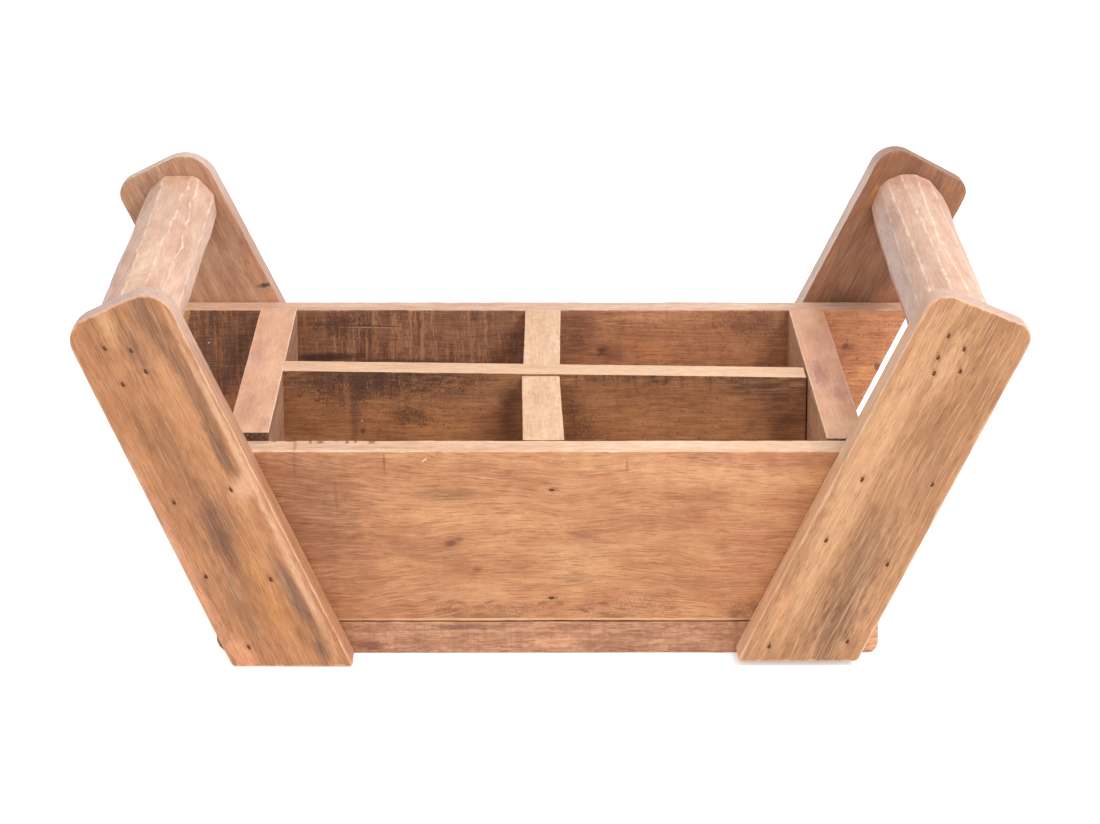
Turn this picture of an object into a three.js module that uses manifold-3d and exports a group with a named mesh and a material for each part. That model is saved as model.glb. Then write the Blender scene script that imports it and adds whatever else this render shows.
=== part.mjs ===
// A divided wooden carrying box, nailed together from sawn boards. Four slanting legs stand
// outside a trough of four compartments and hold a hand-hewn handle across each end.
// Millimetres. X runs along the box, Y from front to back, Z up from the floor.
import * as THREE from 'three';
import { mergeVertices } from 'three/addons/utils/BufferGeometryUtils.js';
import Module from 'manifold-3d';

const wasm = await Module();
wasm.setup();

// Depth over the legs, and the thickness of each board
const depth = 360;
const legThick = 22;
const frontThick = 20.2;
const backThick = 19.4;
const baseThick = 16.4;
const partitionThick = 21.2;

// Heights above the floor
const wallTop = 103.5;
const partitionTopLeft = 106.4;
const partitionTopRight = 103;
const crossTop = 103.7;

// Faces that the boards are set out from
const frontFace = -depth / 2 + legThick;
const backFace = depth / 2 - legThick;
const roomFront = frontFace + frontThick;
const roomBack = backFace - backThick;

// Worn edges, and the open line that is left where two pieces meet
const wornArris = 1.1;
const sawnArris = 0.6;
const joint = 0.3;

// The base: three planks laid lengthwise, a little longer than the walls are at their foot
const baseLeft = -164;
const baseRight = 163;
const plankNames = ['base_plank_front', 'base_plank_middle', 'base_plank_back'];
const plankWidth = (backFace - frontFace) / plankNames.length;
const plankCorner = { left: 8, right: 5 };

// The two end boards stand on the base, between the front and the back. The left one is
// taller at the front, where its end grain shows above the front board.
const ends = {
  left_end_board: { inside: -137.7, outside: -158.2, topFront: 107.7, topBack: 105.1 },
  right_end_board: { inside: 136.9, outside: 156.4, topFront: 104.5, topBack: 104.4 },
};

// The cross pieces butt against the long partition. The front one is sawn wider at the front.
const crosses = {
  cross_partition_front: { centreAtWall: -2.6, centreAtMiddle: -3, atWall: 20.8, atMiddle: 20 },
  cross_partition_back: { centreAtWall: -0.4, centreAtMiddle: -2.3, atWall: 20.1, atMiddle: 19.7 },
};

// The long partition is set slightly askew, and let into the left end board by a little
const partitionSkew = 1.2;
const housing = 1.8;

// The legs. Inner and outer edges run from a place on the floor line, measured outward from
// the middle, and lean outward by so much for each millimetre up. The top is cut nearly
// square to the leg; lift is how far the foot is cut short of the floor.
const legs = {
  leg_front_left: {
    side: -1, row: 'front', inner: 95.3, innerLean: 0.475, outer: 154.9, outerLean: 0.464,
    length: 212.5, skew: 0.01, innerRound: 16, outerRound: 12, footRound: 3, lift: 0,
  },
  leg_front_right: {
    side: 1, row: 'front', inner: 90.5, innerLean: 0.494, outer: 149.8, outerLean: 0.495,
    length: 211.8, skew: 0.07, innerRound: 12.5, outerRound: 8, footRound: 4, lift: 2.4,
  },
  leg_back_left: {
    side: -1, row: 'back', inner: 97.1, innerLean: 0.5, outer: 156.1, outerLean: 0.5,
    length: 216.1, skew: 0, innerRound: 18, outerRound: 10, footRound: 2, lift: 0,
  },
  leg_back_right: {
    side: 1, row: 'back', inner: 94, innerLean: 0.504, outer: 156.4, outerLean: 0.493,
    length: 218.9, skew: -0.015, innerRound: 14, outerRound: 9, footRound: 2, lift: 0,
  },
};
const footCorner = 1.3;

// How far the ends of the front and back boards stop short of the legs' outer edges
const wallSetBack = { front: 2, back: 1.5 };

// The handles: where the axis meets the front and the back legs, and the hewn radius
const handles = {
  handle_left: { xFront: -203.4, xBack: -203.2, zFront: 157, zBack: 157, radius: 20.9, seed: 1 },
  handle_right: { xFront: 198.8, xBack: 204.7, zFront: 156, zBack: 157, radius: 21.2, seed: 4 },
};
const facetCount = 12;
const strokeCount = 14;

// One size of lost-head nail, punched below the surface
const nail = { length: 38, shank: 0.65, head: 0.85, headHeight: 1, point: 2, sides: 8 };
const nailPunch = 1.5;
const nailClear = 0.3;

// Nail places. On the legs they are [outward, up], measured from the middle and the floor.
const handleNails = {
  leg_front_left: [[212.8, 160.4], [200.4, 159.4], [193.5, 149], [204.7, 142.6]],
  leg_front_right: [[190.8, 166.5], [198.5, 160], [186.1, 155.9], [184.4, 148], [196.9, 148.9]],
  leg_back_left: [[211, 162], [195, 161], [203, 146]],
  leg_back_right: [[213, 162], [197, 162], [204, 147]],
};
const wallNails = {
  leg_front_left: [[181.5, 83.7], [153.9, 90.2], [166.8, 46.2], [135.3, 44.7]],
  leg_front_right: [[151, 95.1], [185, 92.5], [134.2, 64.3], [164.2, 52.1]],
  leg_back_left: [[157, 91], [181, 84], [139, 44]],
  leg_back_right: [[156, 92], [182, 85], [140, 46]],
};
const footNails = {
  leg_front_left: [[146.6, 10.2]],
  leg_front_right: [[107.4, 10.2], [145.5, 12.6]],
  leg_back_left: [[122, 9]],
  leg_back_right: [[124, 9]],
};
const crossNails = [[1.2, 83.8], [1.2, 28.4]];
const baseNailInset = 30;

const woods = {
  leg: { color: 0xb98257, roughness: 0.62 },
  wall: { color: 0xb9794a, roughness: 0.6 },
  end: { color: 0xd39c78, roughness: 0.66 },
  partition: { color: 0xb08560, roughness: 0.74 },
  base: { color: 0x9a5f3e, roughness: 0.7 },
  handle: { color: 0xd6a985, roughness: 0.64 },
};
const steel = { color: 0x4a4340, roughness: 0.55, metalness: 0.8 };

// Where a drawn outline goes: facing the front, facing the end, or lying flat
const facingFront = new THREE.Matrix4().makeBasis(
  new THREE.Vector3(1, 0, 0), new THREE.Vector3(0, 0, 1), new THREE.Vector3(0, -1, 0),
);
const facingEnd = new THREE.Matrix4().makeBasis(
  new THREE.Vector3(0, 1, 0), new THREE.Vector3(0, 0, 1), new THREE.Vector3(1, 0, 0),
);
const lyingFlat = new THREE.Matrix4();

// A closed outline from corners [x, y, radius], each rounded by an arc that meets both sides.
function roundedOutline(corners) {
  const shape = new THREE.Shape();
  corners.forEach(([x, y, radius], i) => {
    const corner = new THREE.Vector2(x, y);
    const back = new THREE.Vector2(...corners.at(i - 1)).sub(corner).normalize();
    const ahead = new THREE.Vector2(...corners[(i + 1) % corners.length]).sub(corner).normalize();
    const halfAngle = Math.acos(back.dot(ahead)) / 2;
    const inward = back.clone().add(ahead).normalize();
    const centre = corner.clone().addScaledVector(inward, radius / Math.sin(halfAngle));
    const setback = radius / Math.tan(halfAngle);
    const start = corner.clone().addScaledVector(back, setback).sub(centre).angle();
    const end = corner.clone().addScaledVector(ahead, setback).sub(centre).angle();
    const clockwise = back.cross(ahead) > 0;
    shape.absarc(centre.x, centre.y, radius, start, end, clockwise);
  });
  shape.closePath();
  return shape;
}

// A board cut to an outline, with its long edges eased by wear; near is the lowest
// coordinate along its thickness.
function board(corners, thickness, placing, near, arris) {
  const geometry = new THREE.ExtrudeGeometry(roundedOutline(corners), {
    depth: thickness - 2 * arris,
    bevelThickness: arris,
    bevelSize: arris,
    bevelOffset: -arris,
    bevelSegments: 2,
    curveSegments: 3,
  });
  geometry.translate(0, 0, placing === facingFront ? arris - near - thickness : near + arris);
  return geometry.applyMatrix4(placing);
}

// The point where an edge of a leg is at a height
function edgeAt(foot, lean, height) {
  return foot + lean * height;
}

// The outline of a leg: two leaning edges, a level foot and a top cut across the grain
function legOutline(leg) {
  const along = new THREE.Vector2(leg.innerLean, 1).normalize();
  const across = new THREE.Vector2(along.y, -along.x).addScaledVector(along, leg.skew);
  const topInner = new THREE.Vector2(leg.inner, 0).addScaledVector(along, leg.length);
  const gap = edgeAt(leg.outer, leg.outerLean, topInner.y) - topInner.x;
  const reach = gap / (across.x - leg.outerLean * across.y);
  const topOuter = topInner.clone().addScaledVector(across, reach);
  return [
    [leg.side * edgeAt(leg.inner, leg.innerLean, leg.lift), leg.lift, footCorner],
    [leg.side * edgeAt(leg.outer, leg.outerLean, leg.lift), leg.lift, leg.footRound],
    [leg.side * topOuter.x, topOuter.y, leg.outerRound],
    [leg.side * topInner.x, topInner.y, leg.innerRound],
  ];
}

function makeLeg(leg) {
  const near = leg.row === 'front' ? -depth / 2 : backFace + joint;
  return board(legOutline(leg), legThick - joint, facingFront, near, wornArris);
}

// The front or back board: its slanting ends follow the outer edges of the two legs
function makeWall(left, right, near, thickness) {
  const foot = baseThick;
  const corner = 1.5;
  const end = (leg, height) => (
    leg.side * (edgeAt(leg.outer, leg.outerLean, height) - wallSetBack[leg.row])
  );
  const corners = [
    [end(left, foot), foot, corner],
    [end(right, foot), foot, corner],
    [end(right, wallTop), wallTop, corner],
    [end(left, wallTop), wallTop, corner],
  ];
  return board(corners, thickness, facingFront, near, wornArris);
}

function makeEndBoard({ inside, outside, topFront, topBack }) {
  const corner = 1;
  const corners = [
    [roomFront + joint, baseThick, corner],
    [roomBack - joint, baseThick, corner],
    [roomBack - joint, topBack, corner],
    [roomFront + joint, topFront, corner],
  ];
  const thickness = Math.abs(inside - outside);
  return board(corners, thickness, facingEnd, Math.min(inside, outside), sawnArris);
}

// A board that stands on the base along the middle line, turned slightly as the long
// partition is
function makeMiddleBoard(left, right, topLeft, topRight, thickness) {
  const corner = 1;
  const corners = [
    [left, baseThick, corner],
    [right, baseThick, corner],
    [right, topRight, corner],
    [left, topLeft, corner],
  ];
  const geometry = board(corners, thickness, facingFront, -thickness / 2, sawnArris);
  const span = ends.right_end_board.inside - ends.left_end_board.inside;
  return geometry.rotateZ(-partitionSkew / span);
}

function makeLongPartition() {
  const left = ends.left_end_board.inside - housing;
  const right = ends.right_end_board.inside - joint;
  return makeMiddleBoard(left, right, partitionTopLeft, partitionTopRight, partitionThick);
}

// What is cut from the left end board so that the long partition fits into it
function makeHousing() {
  const bottom = ends.left_end_board.inside - housing - joint;
  const clear = 5;
  const top = ends.left_end_board.topFront + clear;
  const slot = makeMiddleBoard(bottom, bottom + clear, top, top, partitionThick + 2 * joint);
  return slot.translate(0, 0, -joint);
}

// A cross piece, drawn in plan: from the long partition to the wall on one side
function makeCross({ centreAtWall, centreAtMiddle, atWall, atMiddle }, wall) {
  const toward = Math.sign(wall);
  const middle = toward * (partitionThick / 2 + joint + partitionSkew / 8);
  const end = wall - toward * joint;
  const corner = 1;
  const corners = [
    [centreAtMiddle - atMiddle / 2, middle, corner],
    [centreAtMiddle + atMiddle / 2, middle, corner],
    [centreAtWall + atWall / 2, end, corner],
    [centreAtWall - atWall / 2, end, corner],
  ];
  return board(corners, crossTop - baseThick, lyingFlat, baseThick, sawnArris);
}

// A base plank; its ends have lost their corners to wear
function makePlank(index) {
  const top = baseThick - joint;
  const corners = [
    [baseLeft, 0, plankCorner.left],
    [baseRight, 0, plankCorner.right],
    [baseRight, top, plankCorner.right / 2],
    [baseLeft, top, plankCorner.left / 2],
  ];
  const near = frontFace + index * plankWidth;
  return board(corners, plankWidth - joint, facingFront, near, sawnArris);
}

// A handle hewn with a draw knife. Each ridge between two flats wanders a little in angle
// and in radius along the length, as the strokes did.
function makeHandle({ xFront, xBack, zFront, zBack, radius, seed }) {
  const start = new THREE.Vector3(xFront, frontFace + joint, zFront);
  const end = new THREE.Vector3(xBack, backFace - joint, zBack);
  const points = [];
  for (let stroke = 0; stroke <= strokeCount; stroke += 1) {
    const centre = start.clone().lerp(end, stroke / strokeCount);
    for (let ridge = 0; ridge < facetCount; ridge += 1) {
      const uneven = 0.22 * Math.sin(2.4 * ridge + seed);
      const wander = 0.1 * Math.sin(0.75 * stroke + 2.1 * ridge + seed);
      const turn = ((ridge + uneven + wander) / facetCount) * 2 * Math.PI;
      const swell = 1 + 0.012 * Math.sin(0.6 * stroke + 1.7 * ridge + seed);
      const reach = radius * swell;
      points.push(centre.x + reach * Math.cos(turn), centre.y, centre.z + reach * Math.sin(turn));
    }
  }
  points.push(...start.toArray(), ...end.toArray());
  return closedLoft(points, strokeCount + 1, facetCount);
}

// A closed skin over rings of points, with a centre point for each end added last
function closedLoft(points, ringCount, ringSize) {
  const faces = [];
  const firstCentre = ringCount * ringSize;
  const lastRing = (ringCount - 1) * ringSize;
  for (let i = 0; i < ringSize; i += 1) {
    const next = (i + 1) % ringSize;
    for (let ring = 0; ring < lastRing; ring += ringSize) {
      const [a, b] = [ring + i, ring + next];
      faces.push(a, a + ringSize, b, b, a + ringSize, b + ringSize);
    }
    faces.push(firstCentre, i, next, firstCentre + 1, lastRing + next, lastRing + i);
  }
  const geometry = new THREE.BufferGeometry();
  geometry.setAttribute('position', new THREE.Float32BufferAttribute(points, 3));
  geometry.setIndex(faces);
  return geometry;
}

// A nail, or the hole it leaves when clear is added all round; both point down from
// the punched head, which sits below the surface at height 0.
function nailProfile(clear) {
  const top = clear > 0 ? nailPunch : -nailPunch;
  const neck = -nailPunch - nail.headHeight - clear;
  const tip = -nailPunch - nail.length - clear;
  return [
    [0, tip],
    [nail.shank + clear, tip + nail.point],
    [nail.shank + clear, neck],
    [nail.head + clear, neck],
    [nail.head + clear, top],
    [0, top],
  ].map(([radius, height]) => new THREE.Vector2(radius, height));
}

// Turns a nail shape so that it is driven along a direction from a place on the surface
function driven(clear, place, direction) {
  const geometry = new THREE.LatheGeometry(nailProfile(clear), nail.sides);
  const down = new THREE.Vector3(0, -1, 0);
  geometry.applyQuaternion(new THREE.Quaternion().setFromUnitVectors(down, direction));
  return geometry.translate(...place);
}

// Every nail: where it enters, which way it is driven and the pieces that it joins
function listNails() {
  const list = [];
  const inward = { front: new THREE.Vector3(0, 1, 0), back: new THREE.Vector3(0, -1, 0) };
  const outside = { front: -depth / 2, back: depth / 2 };
  for (const [name, leg] of Object.entries(legs)) {
    const corner = name.replace('leg_', '');
    const handle = leg.side < 0 ? 'handle_left' : 'handle_right';
    const groups = [
      [handleNails, handle, 'handle'],
      [wallNails, `${leg.row}_board`, 'board'],
      [footNails, `base_plank_${leg.row}`, 'foot'],
    ];
    for (const [places, into, word] of groups) {
      places[name].forEach(([out, up], i) => list.push({
        name: `nail_${corner}_${word}_${i + 1}`,
        place: [leg.side * out, outside[leg.row], up],
        direction: inward[leg.row],
        through: [name, into],
      }));
    }
  }
  for (const [row, face] of [['front', frontFace], ['back', backFace]]) {
    crossNails.forEach(([x, z], i) => list.push({
      name: `nail_cross_${row}_${i + 1}`,
      place: [x, face, z],
      direction: inward[row],
      through: [`${row}_board`, `cross_partition_${row}`],
    }));
  }
  for (const [name, { inside, outside: outer }] of Object.entries(ends)) {
    plankNames.forEach((plank, i) => list.push({
      name: `nail_base_${name.replace('_end_board', '')}_${plank.replace('base_plank_', '')}`,
      place: [(inside + outer) / 2, (i - 1) * (plankWidth - baseNailInset), 0],
      direction: new THREE.Vector3(0, 0, 1),
      through: [plank, name],
    }));
  }
  return list;
}

// A three.js geometry as a solid, with its shared corners merged
function toSolid(geometry) {
  const bare = geometry.clone();
  bare.deleteAttribute('normal');
  bare.deleteAttribute('uv');
  const merged = mergeVertices(bare, 1e-4);
  return new wasm.Manifold(new wasm.Mesh({
    numProp: 3,
    vertProperties: merged.attributes.position.array,
    triVerts: Uint32Array.from(merged.index.array),
  }));
}

// A solid as a three.js geometry again
function toGeometry(solid) {
  const { vertProperties, triVerts } = solid.getMesh();
  const geometry = new THREE.BufferGeometry();
  geometry.setAttribute('position', new THREE.BufferAttribute(vertProperties, 3));
  geometry.setIndex(new THREE.BufferAttribute(triVerts, 1));
  geometry.computeVertexNormals();
  return geometry;
}

// The wooden pieces, each with the wood it is made of
const pieces = new Map();
plankNames.forEach((name, i) => pieces.set(name, [makePlank(i), woods.base]));
pieces.set('front_board', [
  makeWall(legs.leg_front_left, legs.leg_front_right, frontFace, frontThick), woods.wall,
]);
pieces.set('back_board', [
  makeWall(legs.leg_back_left, legs.leg_back_right, roomBack, backThick), woods.wall,
]);
for (const [name, end] of Object.entries(ends)) {
  pieces.set(name, [makeEndBoard(end), woods.end]);
}
pieces.set('long_partition', [makeLongPartition(), woods.partition]);
pieces.set('cross_partition_front', [
  makeCross(crosses.cross_partition_front, roomFront), woods.partition,
]);
pieces.set('cross_partition_back', [
  makeCross(crosses.cross_partition_back, roomBack), woods.partition,
]);
for (const [name, leg] of Object.entries(legs)) {
  pieces.set(name, [makeLeg(leg), woods.leg]);
}
for (const [name, handle] of Object.entries(handles)) {
  pieces.set(name, [makeHandle(handle), woods.handle]);
}

// The housing and the nail holes, cut from each piece that they go through
const solids = new Map([...pieces].map(([name, [geometry]]) => [name, toSolid(geometry)]));
const cut = (name, tool) => solids.set(name, solids.get(name).subtract(tool));
cut('left_end_board', toSolid(makeHousing()));
const nails = listNails();
for (const { place, direction, through } of nails) {
  const hole = toSolid(driven(nailClear, place, direction));
  for (const name of through) cut(name, hole);
}

const group = new THREE.Group();
for (const [name, [, wood]] of pieces) {
  const material = new THREE.MeshStandardMaterial({ metalness: 0, ...wood });
  const mesh = new THREE.Mesh(toGeometry(solids.get(name)), material);
  mesh.name = name;
  group.add(mesh);
}
for (const { name, place, direction } of nails) {
  const geometry = toGeometry(toSolid(driven(0, place, direction)));
  const mesh = new THREE.Mesh(geometry, new THREE.MeshStandardMaterial(steel));
  mesh.name = name;
  group.add(mesh);
}

export default group;
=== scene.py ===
# %% [markdown]
# # A divided carrying box in reclaimed hardwood
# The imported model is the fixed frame: every piece of wood and every nail is already in its
# place and at its size. What is made here is the surface: worn arrises, saw marks, hewn
# flats, nail holes that have drawn out along the grain, and the colour of the wood. Lengths on
# the box are written in millimetres and turned into metres at the end. The lamps and the floor
# are far larger than the box, so their sizes are in metres.

import math

import bpy
import numpy as np
from mathutils import Matrix, Vector, noise
from mathutils.geometry import convex_hull_2d


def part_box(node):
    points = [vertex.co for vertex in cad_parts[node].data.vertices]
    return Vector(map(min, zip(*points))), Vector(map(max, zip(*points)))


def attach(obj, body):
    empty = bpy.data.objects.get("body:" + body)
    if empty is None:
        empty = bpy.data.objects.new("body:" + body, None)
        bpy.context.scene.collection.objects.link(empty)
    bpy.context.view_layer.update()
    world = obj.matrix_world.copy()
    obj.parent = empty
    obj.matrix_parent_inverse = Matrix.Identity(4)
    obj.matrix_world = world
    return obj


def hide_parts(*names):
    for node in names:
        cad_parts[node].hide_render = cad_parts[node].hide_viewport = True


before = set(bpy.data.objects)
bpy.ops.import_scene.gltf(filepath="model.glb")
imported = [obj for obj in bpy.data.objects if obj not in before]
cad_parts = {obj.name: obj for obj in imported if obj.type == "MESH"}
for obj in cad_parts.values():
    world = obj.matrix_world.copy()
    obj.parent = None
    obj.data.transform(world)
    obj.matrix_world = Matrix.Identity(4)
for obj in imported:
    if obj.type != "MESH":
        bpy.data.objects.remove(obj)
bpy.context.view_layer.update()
MM = 0.001
print("pieces in the frame:", len(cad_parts))

# %% [markdown]
# ## The camera
# The box was photographed from the front and a little above, with a long lens, so that the
# back is only slightly smaller than the front. The place and the lens below come from
# fitting the straight edges of the box to the picture. A camera looks along its own -Z, so
# the columns of its matrix are right, up and backward.

# %% Place the camera
PICTURE_WIDTH = 1100
FOCAL_PIXELS = 3966
CAMERA_PLACE = Vector((-20.74, -2022.52, 620.49)) * MM
PITCH, YAW, ROLL = (math.radians(a) for a in (14.931, 0.647, 0.150))
CLIP_NEAR, CLIP_FAR = 0.05, 50

forward = Vector((math.sin(YAW) * math.cos(PITCH), math.cos(YAW) * math.cos(PITCH), -math.sin(PITCH)))
level = Vector((math.cos(YAW), -math.sin(YAW), 0))
upward = level.cross(forward)
right = level * math.cos(ROLL) + upward * math.sin(ROLL)
up = upward * math.cos(ROLL) - level * math.sin(ROLL)
turn = Matrix((right, up, -forward)).transposed().to_quaternion()

lens = bpy.data.cameras.new("camera")
lens.lens = FOCAL_PIXELS * lens.sensor_width / PICTURE_WIDTH
lens.clip_start, lens.clip_end = CLIP_NEAR, CLIP_FAR
camera = bpy.data.objects.new("camera", lens)
camera.matrix_world = Matrix.LocRotScale(CAMERA_PLACE, turn, None)
bpy.context.scene.collection.objects.link(camera)
bpy.context.scene.camera = camera
print(f"lens {lens.lens:.1f} mm, camera {CAMERA_PLACE.length:.2f} m away")

# %% [markdown]
# ## Helpers for node trees
# The world, the floor and every wood are trees of nodes. A tree is easier to follow when it
# reads like a sum, so each of these small functions places one node, feeds its inputs and
# hands back its output.

# %% Place and link nodes
def feed(tree, value, socket):
    """Links a socket to another, or sets a plain value on it."""
    if isinstance(value, bpy.types.NodeSocket):
        tree.links.new(value, socket)
    else:
        socket.default_value = value


def place_node(tree, kind, *values, **settings):
    """Places a node, sets it up, feeds its inputs in their order and gives its outputs."""
    node = tree.nodes.new("ShaderNode" + kind)
    for label, setting in settings.items():
        setattr(node, label, setting)
    for value, socket in zip(values, node.inputs):
        feed(tree, value, socket)
    return node.outputs


def maths(tree, operation, *values):
    return place_node(tree, "Math", *values, operation=operation)[0]


def vectors(tree, operation, *values):
    outputs = place_node(tree, "VectorMath", *values, operation=operation)
    return outputs["Value" if operation in ("DOT_PRODUCT", "LENGTH") else "Vector"]


def object_place(tree):
    return place_node(tree, "TexCoord")["Object"]


print("helpers:", [helper.__name__ for helper in (feed, place_node, maths, vectors, object_place)])

# %% [markdown]
# ### Noise, mixing and bump
# Nearly all of the wood is noise that is scaled, squeezed into a range and used to mix two
# colours, so these steps get helpers too. A mix node keeps its colour sockets behind those for
# numbers and vectors, so they are found by their places in the list.

# %% Write the wood helpers
MIX_FACTOR, MIX_UNDER, MIX_OVER, MIX_RESULT = 0, 6, 7, 2
NOWHERE = (0.0, 0.0, 0.0)


def spread(tree, value, low, high, to_low=0.0, to_high=1.0, ease="SMOOTHSTEP"):
    """Eases a value from one range into another."""
    return place_node(tree, "MapRange", value, low, high, to_low, to_high, interpolation_type=ease)[0]


def cloud(tree, vector, scale=None, detail=2.0, roughness=0.5):
    """Smooth noise about 0.5, one lump to each unit of the scaled vector."""
    node = tree.nodes.new("ShaderNodeTexNoise")
    feed(tree, vectors(tree, "MULTIPLY", vector, scale) if scale else vector, node.inputs["Vector"])
    for label, value in (("Scale", 1.0), ("Detail", detail), ("Roughness", roughness)):
        node.inputs[label].default_value = value
    return node.outputs[0]


def swing(tree, vector, scale, detail=2.0, roughness=0.5):
    """The same noise, but about 0."""
    return maths(tree, "SUBTRACT", cloud(tree, vector, scale, detail, roughness), 0.5)


def blend(tree, factor, under, over, mode="MIX"):
    node = tree.nodes.new("ShaderNodeMix")
    node.data_type = "RGBA"
    node.blend_type = mode
    for value, place in ((factor, MIX_FACTOR), (under, MIX_UNDER), (over, MIX_OVER)):
        feed(tree, value, node.inputs[place])
    return node.outputs[MIX_RESULT]


def new_material(name):
    """A material, its node tree and its Principled shader."""
    material = bpy.data.materials.new(name)
    material.use_nodes = True
    return material, material.node_tree, material.node_tree.nodes["Principled BSDF"]


def add_bump(tree, shader, height, distance, strength):
    bump = tree.nodes.new("ShaderNodeBump")
    bump.inputs["Distance"].default_value = distance
    bump.inputs["Strength"].default_value = strength
    feed(tree, height, bump.inputs["Height"])
    feed(tree, bump.outputs[0], shader.inputs["Normal"])


print("mix node sockets:", MIX_FACTOR, MIX_UNDER, MIX_OVER, MIX_RESULT)

# %% [markdown]
# ## The light
# A white tent lights such a box from all round, so the world does most of the work. One large
# lamp stands high on the right: it darkens the right-hand end of every compartment, as in the
# picture. A weaker one fills in from the front. Camera and mirror rays see the tent a little
# brighter than it shines, so that rubbed edges keep their sheen and the wood isn't bleached.

# %% Set the view, the world and the lamps
bpy.context.scene.view_settings.view_transform = "Standard"
TENT_LIGHT, TENT_SEEN = 0.72, 1.0
LAMP_AIM = Vector((0, 0, 0.08))


def seen_directly(tree):
    """1 for camera, mirror and clear-glass rays, 0 for the light that falls on things."""
    path = place_node(tree, "LightPath")
    total = path["Is Camera Ray"]
    for label in ("Is Glossy Ray", "Is Transmission Ray"):
        total = maths(tree, "MAXIMUM", total, path[label])
    return total


world = bpy.data.worlds.new("tent")
world.use_nodes = True
bpy.context.scene.world = world
tree = world.node_tree
tree.nodes.clear()
tent = tree.nodes.new("ShaderNodeBackground")
strength = spread(tree, seen_directly(tree), 0.0, 1.0, TENT_LIGHT, TENT_SEEN, "LINEAR")
feed(tree, strength, tent.inputs["Strength"])
feed(tree, tent.outputs[0], tree.nodes.new("ShaderNodeOutputWorld").inputs[0])


def add_lamp(name, place, width, watts):
    """A square lamp at a place in metres that faces the middle of the box."""
    data = bpy.data.lights.new(name, "AREA")
    data.size = width
    data.energy = watts
    lamp = bpy.data.objects.new(name, data)
    lamp.location = place
    lamp.rotation_euler = (LAMP_AIM - Vector(place)).to_track_quat("-Z", "Y").to_euler()
    bpy.context.scene.collection.objects.link(lamp)


add_lamp("lamp_right", (1.15, -0.95, 1.75), 0.9, 38)
add_lamp("lamp_front", (-0.6, -2.3, 1.1), 1.4, 14)

# %% [markdown]
# ## The floor
# White paper under the box takes its shadow. It is lifted to white by a faint glow that only
# camera and mirror rays see, so that no more light falls on the wood. Under the box and close
# to it the glow is weaker, so that the soft contact shadow stays. The distance is measured from
# the footprint, a rectangle under the box that is smaller than the box itself.

# %% Lay the floor
FLOOR_HALF = 6.0
FLOOR_DROP = 0.15 * MM
FOOTPRINT_MIDDLE, FOOTPRINT_HALF = (0.028, 0.0, 0.0), (0.13, 0.158, 0.0)
GLOW_WIDTH = 0.03
GLOW_NEAR, GLOW_FAR = 0.3, 0.66
floor_mesh = bpy.data.meshes.new("floor")
corners = [(x, y, -FLOOR_DROP) for x, y in ((-1, -1), (1, -1), (1, 1), (-1, 1))]
floor_mesh.from_pydata(corners, [], [(0, 1, 2, 3)])
floor_mesh.transform(Matrix.Diagonal((FLOOR_HALF, FLOOR_HALF, 1, 1)))
floor = bpy.data.objects.new("floor", floor_mesh)
bpy.context.scene.collection.objects.link(floor)

paper, tree, shader = new_material("floor_paper")
shader.inputs["Base Color"].default_value = (0.9, 0.9, 0.9, 1)
shader.inputs["Roughness"].default_value = 0.9
shader.inputs["Specular IOR Level"].default_value = 0.1
shader.inputs["Emission Color"].default_value = (1, 1, 1, 1)
from_middle = vectors(tree, "ABSOLUTE", vectors(tree, "SUBTRACT", object_place(tree), FOOTPRINT_MIDDLE))
past = vectors(tree, "MAXIMUM", vectors(tree, "SUBTRACT", from_middle, FOOTPRINT_HALF), NOWHERE)
lift = spread(tree, vectors(tree, "LENGTH", past), 0.0, GLOW_WIDTH, GLOW_NEAR, GLOW_FAR, "LINEAR")
feed(tree, maths(tree, "MULTIPLY", lift, seen_directly(tree)), shader.inputs["Emission Strength"])
floor_mesh.materials.append(paper)
print("floor", 2 * FLOOR_HALF, "m wide")

# %% [markdown]
# ## Reading a board from the frame
# Every board is a flat outline with four straight sides, given a thickness. Its outline can
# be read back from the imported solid: the hull of its points, seen flat on, has four long
# sides, and the gap between a side's end and the sharp corner gives the radius that the
# corner was rounded to. So no size has to be repeated, and the skin made here fits the frame.

# %% Find the outline of a board
PARALLEL = math.cos(math.radians(1.0))


def node_points(name):
    """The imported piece's points, in millimetres."""
    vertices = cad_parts[name].data.vertices
    points = np.empty(3 * len(vertices))
    vertices.foreach_get("co", points)
    return points.reshape(-1, 3) / MM


def way_of(side):
    return (side[1] - side[0]).normalized()


def hull_sides(flat):
    """The hull of flat points as straight sides, each a start and an end."""
    ring = [Vector(flat[i]) for i in convex_hull_2d([Vector(p) for p in flat])]
    if sum(a.cross(b) for a, b in zip(ring, ring[1:] + ring[:1])) < 0:
        ring.reverse()
    sides = []
    for side in zip(ring, ring[1:] + ring[:1]):
        if sides and way_of(side).dot(way_of(sides[-1])) > PARALLEL:
            sides[-1][1] = side[1]
        else:
            sides.append(list(side))
    if way_of(sides[0]).dot(way_of(sides[-1])) > PARALLEL:
        sides[0][0] = sides.pop()[0]
    return sides


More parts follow.
